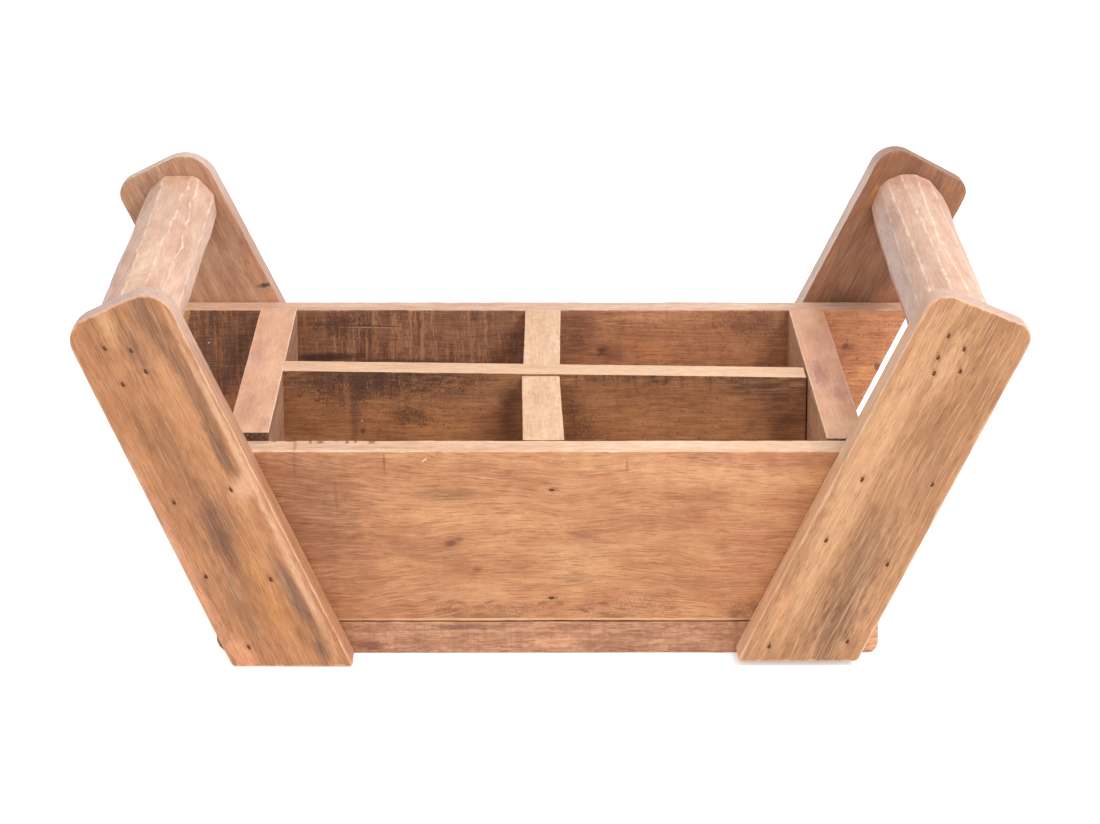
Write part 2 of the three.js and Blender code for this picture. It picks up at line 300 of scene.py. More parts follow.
def read_outline(points, plane):
    """Four sharp corners, anticlockwise from the start of a long side, and their radii."""
    longest = sorted(hull_sides(points[:, plane]), key=lambda s: (s[0] - s[1]).length)[-4:]
    middle = sum((a + b for a, b in longest), Vector((0, 0))) / 8
    longest.sort(key=lambda s: math.atan2(*reversed((s[0] + s[1]) / 2 - middle)))
    first = max(range(4), key=lambda i: (longest[i][0] - longest[i][1]).length)
    sides = longest[first:] + longest[:first]
    corners, radii = [], []
    for before, after in zip(sides[-1:] + sides[:-1], sides):
        one, two = before[1] - before[0], after[1] - after[0]
        share = (after[0] - before[0]).cross(two) / one.cross(two)
        corner = before[0] + one * share
        half = (math.pi - one.angle(two)) / 2
        corners.append(corner)
        radii.append((after[0] - corner).length * math.tan(half))
    return corners, radii


for name, plane in (("leg_front_left", [0, 2]), ("left_end_board", [1, 2])):
    corners, radii = read_outline(node_points(name), plane)
    print(name, "corners", [tuple(round(c) for c in p) for p in corners])

# %% [markdown]
# ## The skin of a board
# A box has six faces, and a grid on its skin can be bent to any board: first to the slanted
# outline, then round the corners of the outline, and last over the arrises. The grid lines
# stand close together beside the edges, because that is where the shape and the wear are, and
# each gap is a fixed share wider than the last until they reach the usual step.

# %% Make a grid on the skin of a box
FINEST = 0.3
GROWTH = 1.45
CLOSE_SHARE = 0.35


def grid_lines(length, step):
    """Places from 0 to 1, close together at both ends, then about a step apart."""
    near, gap = [0.0], FINEST
    while gap < step and near[-1] + gap < length * CLOSE_SHARE:
        near.append(near[-1] + gap)
        gap *= GROWTH
    count = max(2, round((length - 2 * near[-1]) / step) + 1)
    inner = np.linspace(near[-1], length - near[-1], count)[1:-1]
    return np.array([*near, *inner, *(length - np.array(near[::-1]))]) / length


def skin_of_box(counts):
    """Whole-number places and faces of a grid on a box's skin, the faces pointing out."""
    size = np.array(counts) + 1
    places = np.indices(size).reshape(3, -1).T
    outer = ((places == 0) | (places == size - 1)).any(axis=1)
    number = np.full(len(places), -1)
    number[outer] = np.arange(outer.sum())
    number = number.reshape(size)
    faces = []
    for axis in range(3):
        for end in (0, counts[axis]):
            layer = np.take(number, end, axis=axis)
            if (axis == 1) != (end == 0):
                layer = layer.T
            around = (layer[:-1, :-1], layer[1:, :-1], layer[1:, 1:], layer[:-1, 1:])
            faces.append(np.stack([a.ravel() for a in around], axis=1))
    return places[outer], np.concatenate(faces)


print("grid lines along 50 mm:", len(grid_lines(50, 2.5)))

# %% [markdown]
# ### Round the corners
# A square corner is squashed to a round one by pulling each point toward the corner's centre
# until the square shells about it turn to circles. No face is added or lost, so the grain and
# the wear can run across the corner without a seam.

# %% Bend the grid to the outline
def way_out(start, end):
    """The way out of the outline, square to one side."""
    return Vector(((end - start).y, -(end - start).x)).normalized()


def round_corner(flat, corner, before, after, radius):
    """Pulls the points near one sharp corner of the outline on to an arc."""
    out_one, out_two = way_out(before, corner), way_out(corner, after)
    half = out_one.angle(out_two) / 2
    centre = corner - (out_one + out_two).normalized() * radius / math.cos(half)
    away = flat - np.array(centre)
    basis = np.linalg.inv(np.array([out_one, out_two]).T)
    shares = away @ basis.T
    reach = np.maximum(away @ np.array(out_one), away @ np.array(out_two))
    length = np.linalg.norm(away, axis=1)
    inside = (shares > 0).all(axis=1) & (length > 0)
    length = np.where(length > 0, length, 1)
    flat[inside] = np.array(centre) + away[inside] * (reach / length)[inside, None]
    return inside, away / length[:, None]


def bend_to_outline(along, across, corners, radii):
    """Flat places, how far inside the outline each lies, and the way out to it."""
    a, b, c, d = (np.array(p) for p in corners)
    near, far = a + (b - a) * along[:, None], d + (c - d) * along[:, None]
    flat = near + (far - near) * across[:, None]
    ways = [np.array(way_out(start, end)) for start, end in zip(corners, corners[1:] + corners[:1])]
    depths = [(np.array(start) - flat) @ way for start, way in zip(corners, ways)]
    depth, out = np.min(depths, axis=0), np.array(ways)[np.argmin(depths, axis=0)]
    for i, radius in enumerate(radii):
        inside, way = round_corner(flat, corners[i], corners[i - 1], corners[(i + 1) % 4], radius)
        out[inside] = way[inside]
    return flat, depth, out


END_ZONE = 8


def thickness(points, plane, thin):
    """Where the two broad sides lie at both ends: the ends, the low side, the high side."""
    along = points[:, plane[0]]
    ends = np.array([along.min(), along.max()])
    near = [points[abs(along - end) < END_ZONE][:, thin] for end in ends]
    return ends, np.array([n.min() for n in near]), np.array([n.max() for n in near])


print("leg corner radii", [round(r, 1) for r in read_outline(node_points("leg_front_left"), [0, 2])[1]])

# %% [markdown]
# ### Round the arrises
# An arris is the sharp edge between two sides. Hands have rounded the outer ones to more than
# a millimetre, and unevenly, while the inner boards were only just taken off with sandpaper.
# A bevel modifier would round every edge alike. Here each point near an arris is moved by
# itself, so the radius can follow a slow noise along the edge.

# %% Shape the skin of one board
ARRIS = {"worn": 1.15, "sawn": 0.6}
ARRIS_UNEVEN = ((0.35, 7), (0.25, 45))
ARRIS_LEAST, ARRIS_MOST = 0.4, 2
NEAR_ARRIS = 4
FULL_SWING = 1.6


def uneven(points, scale, seed):
    """Smooth noise from about -1 to 1 at each point; the scale is in millimetres."""
    shift = Vector((seed * 17.3, seed * 5.9, seed * 11.1))
    return np.array([noise.noise(Vector(p) / scale + shift) for p in points]) * FULL_SWING


def round_arris(depth, thick, radius):
    """How far in from the outline, and from the broad side, each point near an arris moves."""
    one, two = np.maximum(radius - depth, 0), np.maximum(radius - thick, 0)
    length = np.hypot(one, two)
    shrink = np.where(length > 0, np.maximum(one, two) / np.where(length > 0, length, 1), 1)
    both = (one > 0) & (two > 0)
    return [np.where(both, way * (1 - shrink), 0) for way in (one, two)]


def skin_board(name, plane, arris, step, seed):
    """The skin of one board as points in millimetres, faces, and how near each point is to
    an arris, from 1 on it to 0 a few millimetres away."""
    points = node_points(name)
    corners, radii = read_outline(points, plane)
    thin = 3 - sum(plane)
    ends, low, high = thickness(points, plane, thin)
    if plane == [0, 2]:
        low, high = high, low
    sizes = ((corners[1] - corners[0]).length, (corners[3] - corners[0]).length, abs(high - low).max())
    lines = [grid_lines(size, gap) for size, gap in zip(sizes, step)]
    places, faces = skin_of_box([len(line) - 1 for line in lines])
    along, across, through = (line[places[:, i]] for i, line in enumerate(lines))
    flat, depth, out = bend_to_outline(along, across, corners, radii)
    thick = np.minimum(through, 1 - through) * sizes[2]
    rough = np.column_stack([flat, through * sizes[2]])
    wear = 1 + sum(share * uneven(rough, lump, seed + i) for i, (share, lump) in enumerate(ARRIS_UNEVEN))
    inward, sunk = round_arris(depth, thick, arris * np.clip(wear, ARRIS_LEAST, ARRIS_MOST))
    flat -= out * inward[:, None]
    level = (through * sizes[2] + np.where(through < 0.5, sunk, -sunk)) / sizes[2]
    made = np.empty((len(flat), 3))
    made[:, plane] = flat
    low, high = np.interp(flat[:, 0], ends, low), np.interp(flat[:, 0], ends, high)
    made[:, thin] = low + (high - low) * level
    return made, faces, np.clip(1 - np.maximum(depth, thick) / NEAR_ARRIS, 0, 1)


print("arris radii", ARRIS)

# %% [markdown]
# ### Every board
# All fourteen boards go through the same steps. A board needs only its plane, how its arrises
# were treated, and how close the grid lines stand: the back board and the long partition have
# the closest ones along their length, to carry the saw ridges.

# %% Turn points into pieces of wood
def build_piece(name, points, faces, nearness):
    """A smooth-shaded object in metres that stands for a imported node. Its nearness to an
    arris is kept on its points, for the finish to read."""
    mesh = bpy.data.meshes.new(name + "_wood")
    mesh.from_pydata(points * MM, [], [tuple(face) for face in faces])
    mesh.attributes.new("arris", "FLOAT", "POINT").data.foreach_set("value", nearness)
    mesh.polygons.foreach_set("use_smooth", [True] * len(mesh.polygons))
    piece = bpy.data.objects.new(name + "_wood", mesh)
    bpy.context.scene.collection.objects.link(piece)
    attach(piece, "root")
    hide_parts(name)
    return piece


BOARDS = {
    "front_board": ([0, 2], "worn", (2.5, 2.5, 3)),
    "back_board": ([0, 2], "worn", (1.3, 2.5, 3)),
    "left_end_board": ([1, 2], "sawn", (1.5, 3, 2.5)),
    "right_end_board": ([1, 2], "sawn", (1.5, 3, 2.5)),
    "long_partition": ([0, 2], "sawn", (1.3, 2.5, 3)),
    "cross_partition_front": ([0, 1], "sawn", (2, 2, 3)),
    "cross_partition_back": ([0, 1], "sawn", (2, 2, 3)),
    "base_plank_front": ([0, 2], "sawn", (3, 1.5, 4)),
    "base_plank_middle": ([0, 2], "sawn", (4, 2, 5)),
    "base_plank_back": ([0, 2], "sawn", (4, 1.5, 5)),
}
for corner in ("front_left", "front_right", "back_left", "back_right"):
    BOARDS["leg_" + corner] = ([0, 2], "worn", (2.5, 2, 2.2))
wood_pieces = {}
for number, (name, (plane, arris, step)) in enumerate(BOARDS.items()):
    points, faces, nearness = skin_board(name, plane, ARRIS[arris], step, number)
    wood_pieces[name] = build_piece(name, points, faces, nearness)
    print(name, len(points), "points")

# %% [markdown]
# ## Sawn, sanded and worn surfaces
# No board is truly flat. Sanding by hand leaves a slow unevenness of a few tenths of a
# millimetre, which a long reflection shows at once. The inner boards were left as the saw cut
# them, with upright ridges a few millimetres apart. The rear edge of each leg top is worn
# down more than the front one, from years of hands. All of it is taken off the skin and
# nothing is added, so every piece stays inside the size that the frame gives.

# %% Take a little off the skin
SLOW_DIP, SLOW_LUMP = 0.09, 48
SAW_DIP, SAW_GAP, SAW_LONG = 0.1, 2.1, 90
UPRIGHT = 0.3
TOP_WEAR = {"leg_front_left": 0.9, "leg_front_right": 1.0, "leg_back_left": 3.4, "leg_back_right": 2.4}
TOP_WEAR_DEEP, TOP_WEAR_HIGH = 12, 90


def relief(piece, shape):
    """Moves the skin in along its normals by what a function of the points says."""
    mesh = piece.data
    count = len(mesh.vertices)
    points, normals = np.empty(3 * count), np.empty(3 * count)
    mesh.vertices.foreach_get("co", points)
    mesh.vertex_normals.foreach_get("vector", normals)
    points, normals = points.reshape(-1, 3), normals.reshape(-1, 3)
    moved = points + normals * (np.minimum(shape(points / MM, normals), 0) * MM)[:, None]
    mesh.vertices.foreach_set("co", moved.ravel())
    mesh.update()


def hand_sanded(points, normals):
    return -SLOW_DIP * (1 + uneven(points, SLOW_LUMP, 3))


def saw_cut(points, normals):
    """Upright ridges on the broad sides, over the slow unevenness."""
    ridges = uneven(points * np.array([1, 1, SAW_GAP / SAW_LONG]), SAW_GAP, 7)
    return hand_sanded(points, normals) - SAW_DIP * (1 + ridges) * (abs(normals[:, 2]) < UPRIGHT)


def wear_leg_top(name):
    """Slides the rear edge of a leg's top down along the leg, most at the very edge."""
    corners, _ = read_outline(node_points(name), [0, 2])
    way = way_of(corners)
    way = Vector((way.x, 0, way.y)) * math.copysign(1, way.y)
    mesh = wood_pieces[name].data
    top = max(v.co @ way for v in mesh.vertices)
    rear = max(v.co.y for v in mesh.vertices)
    for vertex in mesh.vertices:
        deep = max(0, 1 - (rear - vertex.co.y) / MM / TOP_WEAR_DEEP)
        high = max(0, 1 - (top - vertex.co @ way) / MM / TOP_WEAR_HIGH)
        vertex.co -= way * TOP_WEAR[name] * deep ** 2 * min(1, 2 * high) * MM


for name, piece in wood_pieces.items():
    sawn = "partition" in name or name in ("back_board", "left_end_board", "right_end_board")
    relief(piece, saw_cut if sawn else hand_sanded)
    if name.startswith("leg"):
        wear_leg_top(name)
print("surfaces worked on", len(wood_pieces), "boards")

# %% [markdown]
# ## The handles
# Each handle was hewn from a square stick with a draw knife: about a dozen long flats, whose
# ridges wander, run together and part again. A turned cylinder would look dead here. So a
# ring of ridges is carried along the handle's axis. The ridges that show were measured, as
# angles round the axis at the front, the middle and the back, and the rest are spread
# evenly over what is left of the circle.

# %% Find the ridges of each handle
RIDGES = 12
SEEN_RIDGES = {
    "handle_left": [(105, 108, 115), (78, 75, 72), (52, 50, 59), (18, 18, 24)],
    "handle_right": [(144, 145, 140), (121, 122, 126), (93, 96, 103), (70, 83, 80), (46, 52, 56)],
}
RIDGE_PLACES = (0.12, 0.48, 0.95)
RIDGE_WANDER = {"handle_left": 4.5, "handle_right": 1.4}
WANDER_RATE, WANDER_APART = 14, 3.7
STATION = 2.5
HANDLE_END = 2.0


def ring_shares(length):
    """Places along a handle from 0 to 1, close together at its two ends."""
    near = HANDLE_END * (1 - np.cos(np.linspace(0, math.pi / 2, 5)))
    middle = np.arange(HANDLE_END + STATION, length - HANDLE_END - STATION / 2, STATION)
    return np.array([*near, *middle, *(length - near[::-1])]) / length


def ridge_angles(name, share):
    """The angle of every ridge at a place along the handle, in radians."""
    seen = [np.interp(share, RIDGE_PLACES, angles) for angles in SEEN_RIDGES[name]]
    hidden = RIDGES - len(seen)
    step = (360 + seen[-1] - seen[0]) / (hidden + 1)
    angles = [*seen, *(seen[-1] - step * (i + 1) for i in range(hidden))]
    wander = [noise.noise((WANDER_RATE * share, WANDER_APART * i, len(name))) for i in range(RIDGES)]
    return np.radians(np.array(angles) + RIDGE_WANDER[name] * np.array(wander))


def handle_end(points, y):
    """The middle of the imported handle's end face at y, and its radius."""
    end = points[abs(points[:, 1] - y) < 1]
    low, high = end.min(axis=0), end.max(axis=0)
    return (low + high) / 2, (high - low)[[0, 2]].mean() / 2


print("ridges measured:", {name: len(angles) for name, angles in SEEN_RIDGES.items()})

# %% [markdown]
# ### Close a tube
# Rings of points, one after another, make a tube. It is closed at both ends with smaller and
# smaller rings and a last small face, so that each handle is one solid. The nail holes further
# down are tubes too, and use the same faces.

# %% Join rings into a closed tube
CAP_RINGS = (0.8, 0.45, 0.12)


def tube_faces(layers, around, start=0):
    """Faces for rings of points one after another, closed at both ends."""
    faces = []
    for layer in range(layers - 1):
        a, b = start + layer * around, start + (layer + 1) * around
        for i in range(around):
            j = (i + 1) % around
            faces.append((a + i, a + j, b + j, b + i))
    last = start + (layers - 1) * around
    return [*faces, tuple(range(start, start + around))[::-1], tuple(range(last, last + around))]


def close_tube(points, rings, around, nearness):
    """Closes a tube with smaller rings at both ends."""
    caps = []
    for ring in (points[:around], points[-around:]):
        middle = ring.mean(axis=0)
        caps.append([middle + (ring - middle) * k for k in CAP_RINGS])
    layers = [*caps[0][::-1], *points.reshape(rings, around, 3), *caps[1]]
    plain = [0.0] * (len(CAP_RINGS) * around)
    return np.concatenate(layers), tube_faces(len(layers), around), np.array([*plain, *nearness, *plain])


print("faces of a tube of 4 rings of 12:", len(tube_faces(4, 12)))

# %% [markdown]
# ### Hew the flats
# Between two ridges the knife left a flat, which is crossed here in six steps. Each flat gets
# a slight crown and each ridge is softened, because hands have rubbed it. The ends are
# rounded over. Last come the short shallow dips where the knife chattered.

# %% Carry a ring of ridges along each handle
ACROSS_FLAT = (0, 0.1, 0.26, 0.5, 0.74, 0.9)
CROWN, RIDGE_WORN = 0.02, 0.18
RIDGE_REACH = 3.2
BULGE, BULGE_LONG, BULGE_ROUND = 0.4, 60, 40
KNIFE_DIP, KNIFE_LUMP, KNIFE_STRETCH, HANDLE_ENDS = 0.16, 11, 0.35, 0.7


def hew_handle(name, seed):
    """The points, faces and ridge nearness of one handle."""
    points = node_points(name)
    front, radius = handle_end(points, points[:, 1].min())
    back, _ = handle_end(points, points[:, 1].max())
    length = np.linalg.norm(back - front)
    shares = ring_shares(length)
    rings, nearness = [], []
    for share in shares:
        middle = front + (back - front) * share
        angles = ridge_angles(name, share)
        gap = min(share, 1 - share) * length
        inset = HANDLE_END - math.sqrt(max(0, HANDLE_END ** 2 - max(0, HANDLE_END - gap) ** 2))
        probe = [(BULGE_ROUND * a, share * length, 0) for a in angles]
        reach = radius - inset + BULGE * uneven(np.array(probe), BULGE_LONG, seed)
        ridges = np.column_stack([np.cos(angles), np.zeros(RIDGES), np.sin(angles)]) * reach[:, None]
        for here, after in zip(ridges, np.roll(ridges, -1, axis=0)):
            width = np.linalg.norm(after - here)
            for t in ACROSS_FLAT:
                spot = here + (after - here) * t
                way = spot / np.linalg.norm(spot)
                rings.append(middle + spot + way * (CROWN * t * (1 - t) * width - RIDGE_WORN * (t == 0)))
                nearness.append(max(0, 1 - min(t, 1 - t) * width / RIDGE_REACH))
    return close_tube(np.array(rings), len(shares), RIDGES * len(ACROSS_FLAT), nearness)


def knife_chatter(points, normals):
    """Short shallow dips, longer along the handle than across it."""
    dips = 1 + uneven(points * np.array([1, KNIFE_STRETCH, 1]), KNIFE_LUMP, 5)
    return -KNIFE_DIP * dips * (abs(normals[:, 1]) < HANDLE_ENDS)


for number, name in enumerate(SEEN_RIDGES):
    points, faces, nearness = hew_handle(name, 20 + 3 * number)
    wood_pieces[name] = build_piece(name, points, faces, nearness)
    relief(wood_pieces[name], knife_chatter)
    print(name, len(points), "points")

# %% [markdown]
# ## The way of the grain
# Wood is figured by the tree it came from, so each piece needs its own set of directions:
# along the grain, across the face, and into the wood. They are read from the outline again.
# The same directions tell the faces of a board apart, so that a pale worn top can have
# another finish than the rough inner side.

# %% Find the directions of every piece
GRAIN_PLANES = {name: plane for name, (plane, _, _) in BOARDS.items()}
GRAIN_PLANES.update({"cross_partition_front": [1, 2], "cross_partition_back": [1, 2]})


def grain_of_board(name, plane):
    """The middle of a board in metres, the way of its grain and the way across it."""
    points = node_points(name)
    corners, _ = read_outline(points, plane)
    thin = 3 - sum(plane)
    middle = np.zeros(3)
    middle[plane] = np.mean([tuple(c) for c in corners], axis=0)
    middle[thin] = (points[:, thin].min() + points[:, thin].max()) / 2
    way = way_of(corners)
    if max(way, key=abs) < 0:
        way = -way
    along, across = np.zeros(3), np.zeros(3)
    along[plane], across[plane] = way, (-way.y, way.x)
    return middle * MM, along, across


def grain_of_handle(name):
    points = node_points(name)
    front, back = (handle_end(points, y)[0] for y in (points[:, 1].min(), points[:, 1].max()))
    along = (back - front) / np.linalg.norm(back - front)
    across = np.cross(along, (-1, 0, 0))
    return (front + back) / 2 * MM, along, across / np.linalg.norm(across)


GRAIN = {name: grain_of_board(name, plane) for name, plane in GRAIN_PLANES.items()}
GRAIN.update({name: grain_of_handle(name) for name in SEEN_RIDGES})
for name, (middle, along, across) in GRAIN.items():
    print(name, (middle / MM).round(1), along.round(3), across.round(3))

# %% [markdown]
# ## Node groups for wood
# What many woods share is built once as a node group and placed in each material with its own
# values. A group only puts out masks, values and positions; the shader itself stays in each
# material. The first group turns object coordinates, which are metres in the shared frame,
# into millimetres along the grain, across the face and into the wood, so that every later
# number can be read off a ruler.

# %% Make the grain space group
def new_group(name, inputs, outputs):
    """An empty node group, with what it is given and what it puts out as sockets by name."""
    tree = bpy.data.node_groups.new(name, "ShaderNodeTree")
    for label, value in inputs.items():
        kind = "NodeSocketVector" if isinstance(value, tuple) else "NodeSocketFloat"
        tree.interface.new_socket(label, in_out="INPUT", socket_type=kind).default_value = value
    for label in outputs:
        kind = "NodeSocketVector" if label == "Vector" else "NodeSocketFloat"
        tree.interface.new_socket(label, in_out="OUTPUT", socket_type=kind)
    return tree, tree.nodes.new("NodeGroupInput").outputs, tree.nodes.new("NodeGroupOutput").inputs


def use_group(tree, name, **values):
    """Places a group in a tree and feeds its inputs."""
    node = tree.nodes.new("ShaderNodeGroup")
    node.node_tree = bpy.data.node_groups[name]
    for label, value in values.items():
        feed(tree, value, node.inputs[label.replace("_", " ")])
    return node.outputs


tree, given, out = new_group(
    "Grain space", {"Place": NOWHERE, "Along": (1.0, 0.0, 0.0), "Across": (0.0, 0.0, 1.0)}, ["Vector"]
)
away = vectors(tree, "SUBTRACT", object_place(tree), given["Place"])
away = vectors(tree, "MULTIPLY", away, (1 / MM, 1 / MM, 1 / MM))
into = vectors(tree, "CROSS_PRODUCT", given["Along"], given["Across"])
ways = (given["Along"], given["Across"], into)
parts = [vectors(tree, "DOT_PRODUCT", away, way) for way in ways]
feed(tree, place_node(tree, "CombineXYZ", *parts)[0], out["Vector"])
print("group:", tree.name)

# %% [markdown]
# ### Wood grain
# Year rings are circles about the heart of the tree, and a board cuts through them. So the
# tone depends on the distance from a heart line that lies some way behind the board, counted
# in ring gaps. The line wanders along the grain. Rings can also open like a fan toward one
# end, as they do near the foot of a tree. Fibres, the dark open pores and the pale streaks
# between them are noise drawn out along the same bent lines, so they follow the figure.

# %% Make the wood grain group
SEED_SHIFT = (37.1, 11.7, 5.3)
SLOW_BEND, QUICK_BEND, QUICK_SHARE = (0.009, 0.02, 0.02), (0.045, 0.11, 0.11), 0.12
FAN_START, FAN_RATE = 60.0, 0.01
RING_DRIFT = 0.006
FIBRE_SCALE, CROWD_SCALE, STREAK_SCALE = (0.045, 0.9, 0.9), (0.02, 0.12, 0.12), (0.05, 1.6, 1.6)
PORE_CLOSE = 1.7
tree, given, out = new_group(
    "Wood grain",
    {"Vector": NOWHERE, "Seed": 0.0, "Ring Gap": 5.0, "Wander": 6.0, "Fan": 0.0, "Heart": (0.0, -70.0, -40.0),
     "Pore Length": 8.0, "Pore Share": 0.5},
    ["Tone", "Fibre", "Pores", "Streaks"],
)
shift = vectors(tree, "MULTIPLY", SEED_SHIFT, given["Seed"])
shifted = vectors(tree, "ADD", given["Vector"], shift)
place = place_node(tree, "SeparateXYZ", given["Vector"])
slow, quick = swing(tree, shifted, SLOW_BEND), swing(tree, shifted, QUICK_BEND)
wander = maths(tree, "MULTIPLY", maths(tree, "MULTIPLY_ADD", quick, QUICK_SHARE, slow), given["Wander"])
bent = maths(tree, "MULTIPLY_ADD", wander, 2.0, place["Y"])
reach = maths(tree, "MAXIMUM", maths(tree, "SUBTRACT", FAN_START, place["X"]), 0.0)
reach = maths(tree, "POWER", maths(tree, "MULTIPLY", reach, FAN_RATE), 2.0)
bent = maths(tree, "DIVIDE", bent, maths(tree, "MULTIPLY_ADD", reach, given["Fan"], 1.0))
lines = place_node(tree, "CombineXYZ", place["X"], bent, place["Z"])[0]
from_heart = vectors(tree, "MULTIPLY", vectors(tree, "SUBTRACT", lines, given["Heart"]), (0.0, 1.0, 1.0))
rings = maths(tree, "DIVIDE", vectors(tree, "LENGTH", from_heart), given["Ring Gap"])
drift = maths(tree, "MULTIPLY", place["X"], RING_DRIFT)
banded = place_node(tree, "CombineXYZ", drift, rings, given["Seed"])[0]
feed(tree, spread(tree, cloud(tree, banded, None, 3.0, 0.6), 0.3, 0.7), out["Tone"])

lines = vectors(tree, "ADD", lines, shift)
feed(tree, spread(tree, cloud(tree, lines, FIBRE_SCALE, 2.0, 0.6), 0.34, 0.66), out["Fibre"])
pore_scale = place_node(
    tree, "CombineXYZ", maths(tree, "DIVIDE", 1.0, given["Pore Length"]), PORE_CLOSE, PORE_CLOSE
)[0]
crowd = cloud(tree, lines, CROWD_SCALE)
dashes = cloud(tree, lines, pore_scale, 1.0)
dashes = maths(tree, "ADD", dashes, maths(tree, "MULTIPLY", maths(tree, "SUBTRACT", crowd, 0.5), 0.35))
limit = maths(tree, "MULTIPLY_ADD", given["Pore Share"], -0.2, 0.72)
feed(tree, spread(tree, dashes, limit, maths(tree, "ADD", limit, 0.06)), out["Pores"])
streaks = cloud(tree, vectors(tree, "ADD", lines, shift), STREAK_SCALE, 1.0)
streaks = maths(tree, "MULTIPLY_ADD", maths(tree, "SUBTRACT", 0.5, crowd), 0.25, streaks)
feed(tree, spread(tree, streaks, 0.54, 0.64), out["Streaks"])
print("group:", tree.name, "with outputs", list(out.keys()))

# %% [markdown]
# ### Saw marks
# A frame saw leaves upright lines across the grain, unevenly spaced, which break up into short
# dashes where the plane or the hand has touched them. Noise that is stretched far across the
# grain gives the lines. A second, finer noise is added to break them.

# %% Make the saw marks group
SAW_STRETCH, BREAK_SCALE = 0.03, (0.9, 0.24, 0.24)
tree, given, out = new_group(
    "Saw marks", {"Vector": NOWHERE, "Gap": 3.0, "Slant": 0.03, "Break": 0.7}, ["Mask"]
)
place = place_node(tree, "SeparateXYZ", given["Vector"])
leaning = maths(tree, "MULTIPLY_ADD", place["Y"], given["Slant"], place["X"])
stretched = (maths(tree, "MULTIPLY", place[axis], SAW_STRETCH) for axis in "YZ")
lines = place_node(tree, "CombineXYZ", maths(tree, "DIVIDE", leaning, given["Gap"]), *stretched)[0]
dashes = maths(tree, "MULTIPLY", swing(tree, given["Vector"], BREAK_SCALE, 3.0, 0.65), given["Break"])
marks = maths(tree, "ADD", cloud(tree, lines, None, 2.5, 0.7), dashes)
feed(tree, spread(tree, marks, 0.48, 0.68), out["Mask"])
print("group:", tree.name)

# %% [markdown]
# ### Stains and grit
# A stain, knot or scar has a place, a size, a turn, and a ragged or a soft edge. It is the
# distance from its middle, counted in its own half sizes, with noise added to tear the edge.
# Grit is dirt that lies in the saw cuts as separate dark grains, crowded in the middle of its
# patch: the nearer to the middle, the more of a fine noise passes the limit.

# %% Make the stain and grit groups
TORN_SCALE, RAGGED_GAIN = (0.12, 0.5, 0.5), 3.0
PATCH_SCALE, PATCH_RAGGED = (0.16, 0.16, 0.16), 2.2
GRAIN_SCALE, CROWDING = (1.5, 0.7, 0.7), 0.3
SPOT = {"Vector": NOWHERE, "Place": NOWHERE, "Size": (10.0, 5.0, 500.0)}
tree, given, out = new_group("Stain", {**SPOT, "Turn": 0.0, "Ragged": 0.5, "Soft": 0.5}, ["Mask"])
turned = tree.nodes.new("ShaderNodeVectorRotate")
turned.rotation_type = "Z_AXIS"
feed(tree, vectors(tree, "SUBTRACT", given["Vector"], given["Place"]), turned.inputs["Vector"])
feed(tree, given["Turn"], turned.inputs["Angle"])
inside = vectors(tree, "LENGTH", vectors(tree, "DIVIDE", turned.outputs[0], given["Size"]))
torn = swing(tree, given["Vector"], TORN_SCALE, 3.0, 0.65)
inside = maths(tree, "MULTIPLY_ADD", torn, maths(tree, "MULTIPLY", given["Ragged"], RAGGED_GAIN), inside)
feed(tree, spread(tree, inside, maths(tree, "SUBTRACT", 1.0, given["Soft"]), 1.0, 1.0, 0.0), out["Mask"])
print("group:", tree.name)

tree, given, out = new_group("Grit", {**SPOT, "Crowd": 1.0}, ["Mask"])
away = vectors(tree, "DIVIDE", vectors(tree, "SUBTRACT", given["Vector"], given["Place"]), given["Size"])
ragged = swing(tree, given["Vector"], PATCH_SCALE, 3.0)
away = maths(tree, "MULTIPLY_ADD", ragged, PATCH_RAGGED, vectors(tree, "LENGTH", away))
crowd = maths(tree, "MULTIPLY", spread(tree, away, 0.1, 1.1, 1.0, 0.0), given["Crowd"])
grains = maths(tree, "MULTIPLY_ADD", crowd, CROWDING, cloud(tree, given["Vector"], GRAIN_SCALE, 2.0, 0.6))
feed(tree, spread(tree, grains, 0.62, 0.76), out["Mask"])
print("group:", tree.name)

# %% [markdown]
# ### Clouds, and worn edges with painted highlight
# Clouds are the slow blotches of old wood. The pale line along an arris is partly wear and
# partly painted highlight. It is read from the nearness that each piece keeps on its points, and
# a noise makes the line broader here and thinner there.

# %% Make the cloud and arris groups
WORN_SCALE, WORN_EDGE = (0.08, 0.3, 0.3), 0.35
tree, given, out = new_group("Clouds", {"Vector": NOWHERE, "Seed": 0.0, "Size": (30.0, 10.0, 10.0)}, ["Mask"])
drifted = vectors(tree, "ADD", vectors(tree, "DIVIDE", given["Vector"], given["Size"]), given["Seed"])
feed(tree, spread(tree, cloud(tree, drifted, None, 3.0, 0.6), 0.32, 0.68), out["Mask"])

tree, given, out = new_group("Worn arris and highlight", {"Vector": NOWHERE, "Reach": 0.5, "Ragged": 0.4}, ["Mask"])
near = place_node(tree, "Attribute", attribute_name="arris")["Fac"]
torn = maths(tree, "MULTIPLY", swing(tree, given["Vector"], WORN_SCALE, 3.0, 0.6), given["Ragged"])
start = maths(tree, "SUBTRACT", 1.0, given["Reach"])
near = maths(tree, "MULTIPLY_ADD", torn, 2.0, near)
feed(tree, spread(tree, near, start, maths(tree, "ADD", start, WORN_EDGE)), out["Mask"])
print("groups:", [group.name for group in bpy.data.node_groups])
